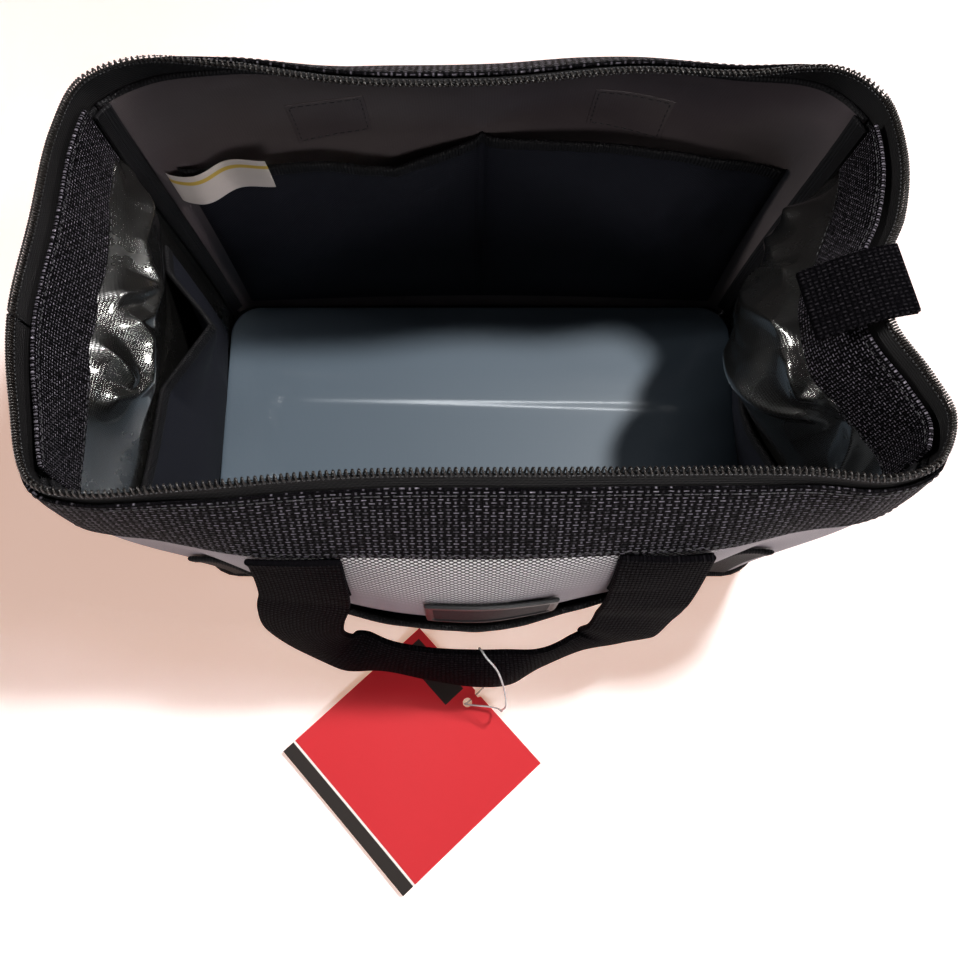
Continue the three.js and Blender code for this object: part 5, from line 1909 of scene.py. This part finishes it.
class TOOLBAG_OT_tag(bpy.types.Operator):
    """Makes the card hang tag that lies in front of the bag"""

    bl_idname = "tool_bag.tag"
    bl_label = "Hang tag"

    def execute(self, context):
        work = bmesh.new()
        bmesh.ops.create_grid(work, x_segments=64, y_segments=64, size=TAG_SIDE / 2)
        radius = TAG_HOLE_RADIUS
        inside = [f for f in work.faces if (f.calc_center_median() - TAG_HOLE).length < radius]
        bmesh.ops.delete(work, geom=inside, context="FACES")
        bare = {v for e in work.edges if e.is_boundary for v in e.verts}
        rim = {v for v in bare if (v.co - TAG_HOLE).length < 3 * radius}
        for vertex in rim:
            vertex.co = TAG_HOLE + (vertex.co - TAG_HOLE).normalized() * radius
        for vertex in work.verts:
            slide = vertex.co - TAG_HOLE
            if vertex not in rim and slide.length < radius * 1.35:
                vertex.co = TAG_HOLE + slide.normalized() * radius * 1.35
        layer = work.loops.layers.uv.new("Flat")
        for face in work.faces:
            for corner in face.loops:
                corner[layer].uv = (corner.vert.co.x + TAG_SIDE / 2, corner.vert.co.y + TAG_SIDE / 2)
        raise_copy(work, TAG_CARD)
        for face in work.faces:
            face.material_index = 0 if face.calc_center_median().z > 0.0006 else 1
        for vertex in work.verts:
            x, y = vertex.co.x, vertex.co.y
            diagonal = (x + y) / TAG_SIDE
            side = (x - y) / TAG_SIDE
            lift = 0.0040 * max(0.0, diagonal) ** 2 + 0.0016 * max(0.0, -diagonal) ** 2
            vertex.co.x, vertex.co.y = turned_on_tag(x, y)
            vertex.co.z += TAG_CENTRE.z + lift + 0.0018 * side * side
        bmesh.ops.recalc_face_normals(work, faces=work.faces)
        mesh = mesh_from(work, "hang_tag_card", smooth=False)
        tag = new_object("hang_tag_card", mesh, tag_card(), tag_back())
        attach(tag, "tag")
        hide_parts("hang_tag")
        return {"FINISHED"}


class TOOLBAG_OT_studio(bpy.types.Operator):
    """Makes the pale table, the soft lamps and the even light round them"""

    bl_idname = "tool_bag.studio"
    bl_label = "Studio"

    def execute(self, context):
        scene = context.scene
        studio = scene.bag_studio
        scene.view_settings.view_transform = "Standard"
        work = bmesh.new()
        bmesh.ops.create_grid(work, x_segments=8, y_segments=8, size=4)
        table = new_object("table", mesh_from(work, "table", smooth=False), table_top())
        self.lamp("key", (0.54, 0.275, 1.42), (0, 0, 0.1), studio.key, (0.12, 0.12), (1.0, 0.98, 0.95))
        self.lamp("front", (0.20, -0.95, 0.80), (0, 0, 0.15), studio.front, (0.40, 0.25), (1.0, 0.97, 0.96))
        beam = math.radians(26)
        sides = (("left", (-1.2, -0.08, 0.74), 0.15), ("right", (1.25, -0.08, 0.86), -0.15))
        for name, place, aim in sides:
            self.lamp(name, place, (aim, 0, 0.15), studio.side, (0.40, 0.12), (1.0, 0.98, 0.94), beam)
        self.lamp("strip", (-0.04, 0.25, 1.50), (0, 0, 0.1), studio.fill, (0.72, 0.022), (0.93, 0.97, 1.0))
        world = bpy.data.worlds.new("studio")
        scene.world = world
        world.use_nodes = True
        tree = world.node_tree
        tree.nodes.clear()
        ray = tree.nodes.new("ShaderNodeLightPath")
        mix = tree.nodes.new("ShaderNodeMixShader")
        end = tree.nodes.new("ShaderNodeOutputWorld")
        tree.links.new(ray.outputs["Is Camera Ray"], mix.inputs[0])
        for entry, strength in ((1, studio.sky), (2, 1.0)):
            even = tree.nodes.new("ShaderNodeBackground")
            even.inputs["Color"].default_value = (1.0, 1.0, 1.0, 1.0)
            even.inputs["Strength"].default_value = strength
            tree.links.new(even.outputs[0], mix.inputs[entry])
        tree.links.new(mix.outputs[0], end.inputs["Surface"])
        return {"FINISHED"}

    def lamp(self, name, place, aim, power, size, colour, beam=math.pi):
        light = bpy.data.lights.new(name, "AREA")
        light.spread = beam
        light.shape = "RECTANGLE"
        light.size, light.size_y = size
        light.energy = power
        light.color = colour
        holder = bpy.data.objects.new(name, light)
        holder.location = place
        turn = (Vector(aim) - Vector(place)).to_track_quat("-Z", "Y")
        holder.rotation_euler = turn.to_euler()
        bpy.context.scene.collection.objects.link(holder)


STEPS = (
    TOOLBAG_OT_camera,
    TOOLBAG_OT_tag_loop,
    TOOLBAG_OT_walls,
    TOOLBAG_OT_base,
    TOOLBAG_OT_bands,
    TOOLBAG_OT_zip,
    TOOLBAG_OT_closed_run,
    TOOLBAG_OT_strips,
    TOOLBAG_OT_pockets,
    TOOLBAG_OT_handles,
    TOOLBAG_OT_badge,
    TOOLBAG_OT_tag,
    TOOLBAG_OT_studio,
)


class TOOLBAG_PT_pieces(bpy.types.Panel):
    """Lists the bag's pieces and its sizes and colours"""

    bl_label = "Tool bag"
    bl_idname = "TOOLBAG_PT_pieces"
    bl_space_type = "VIEW_3D"
    bl_region_type = "UI"
    bl_category = "Tool bag"

    def draw(self, context):
        layout = self.layout
        for step in STEPS:
            layout.operator(step.bl_idname)
        for group in (getattr(context.scene, name) for name in GROUPS):
            box = layout.box()
            for name in group.bl_rna.properties.keys():
                if name not in ("rna_type", "name"):
                    box.prop(group, name)


GROUPS = {
    "bag_shape": BagShape,
    "bag_trim": TrimSizes,
    "bag_colours": Colours,
    "bag_studio": Studio,
}


def register():
    for name, group in GROUPS.items():
        bpy.utils.register_class(group)
        setattr(bpy.types.Scene, name, PointerProperty(type=group))
    for step in STEPS:
        bpy.utils.register_class(step)
    bpy.utils.register_class(TOOLBAG_PT_pieces)


def unregister():
    bpy.utils.unregister_class(TOOLBAG_PT_pieces)
    for step in reversed(STEPS):
        bpy.utils.unregister_class(step)
    for name, group in GROUPS.items():
        delattr(bpy.types.Scene, name)
        bpy.utils.unregister_class(group)


def main():
    register()
    for step in STEPS:
        area, _, name = step.bl_idname.partition(".")
        getattr(getattr(bpy.ops, area), name)()


if __name__ == "__main__":
    main()
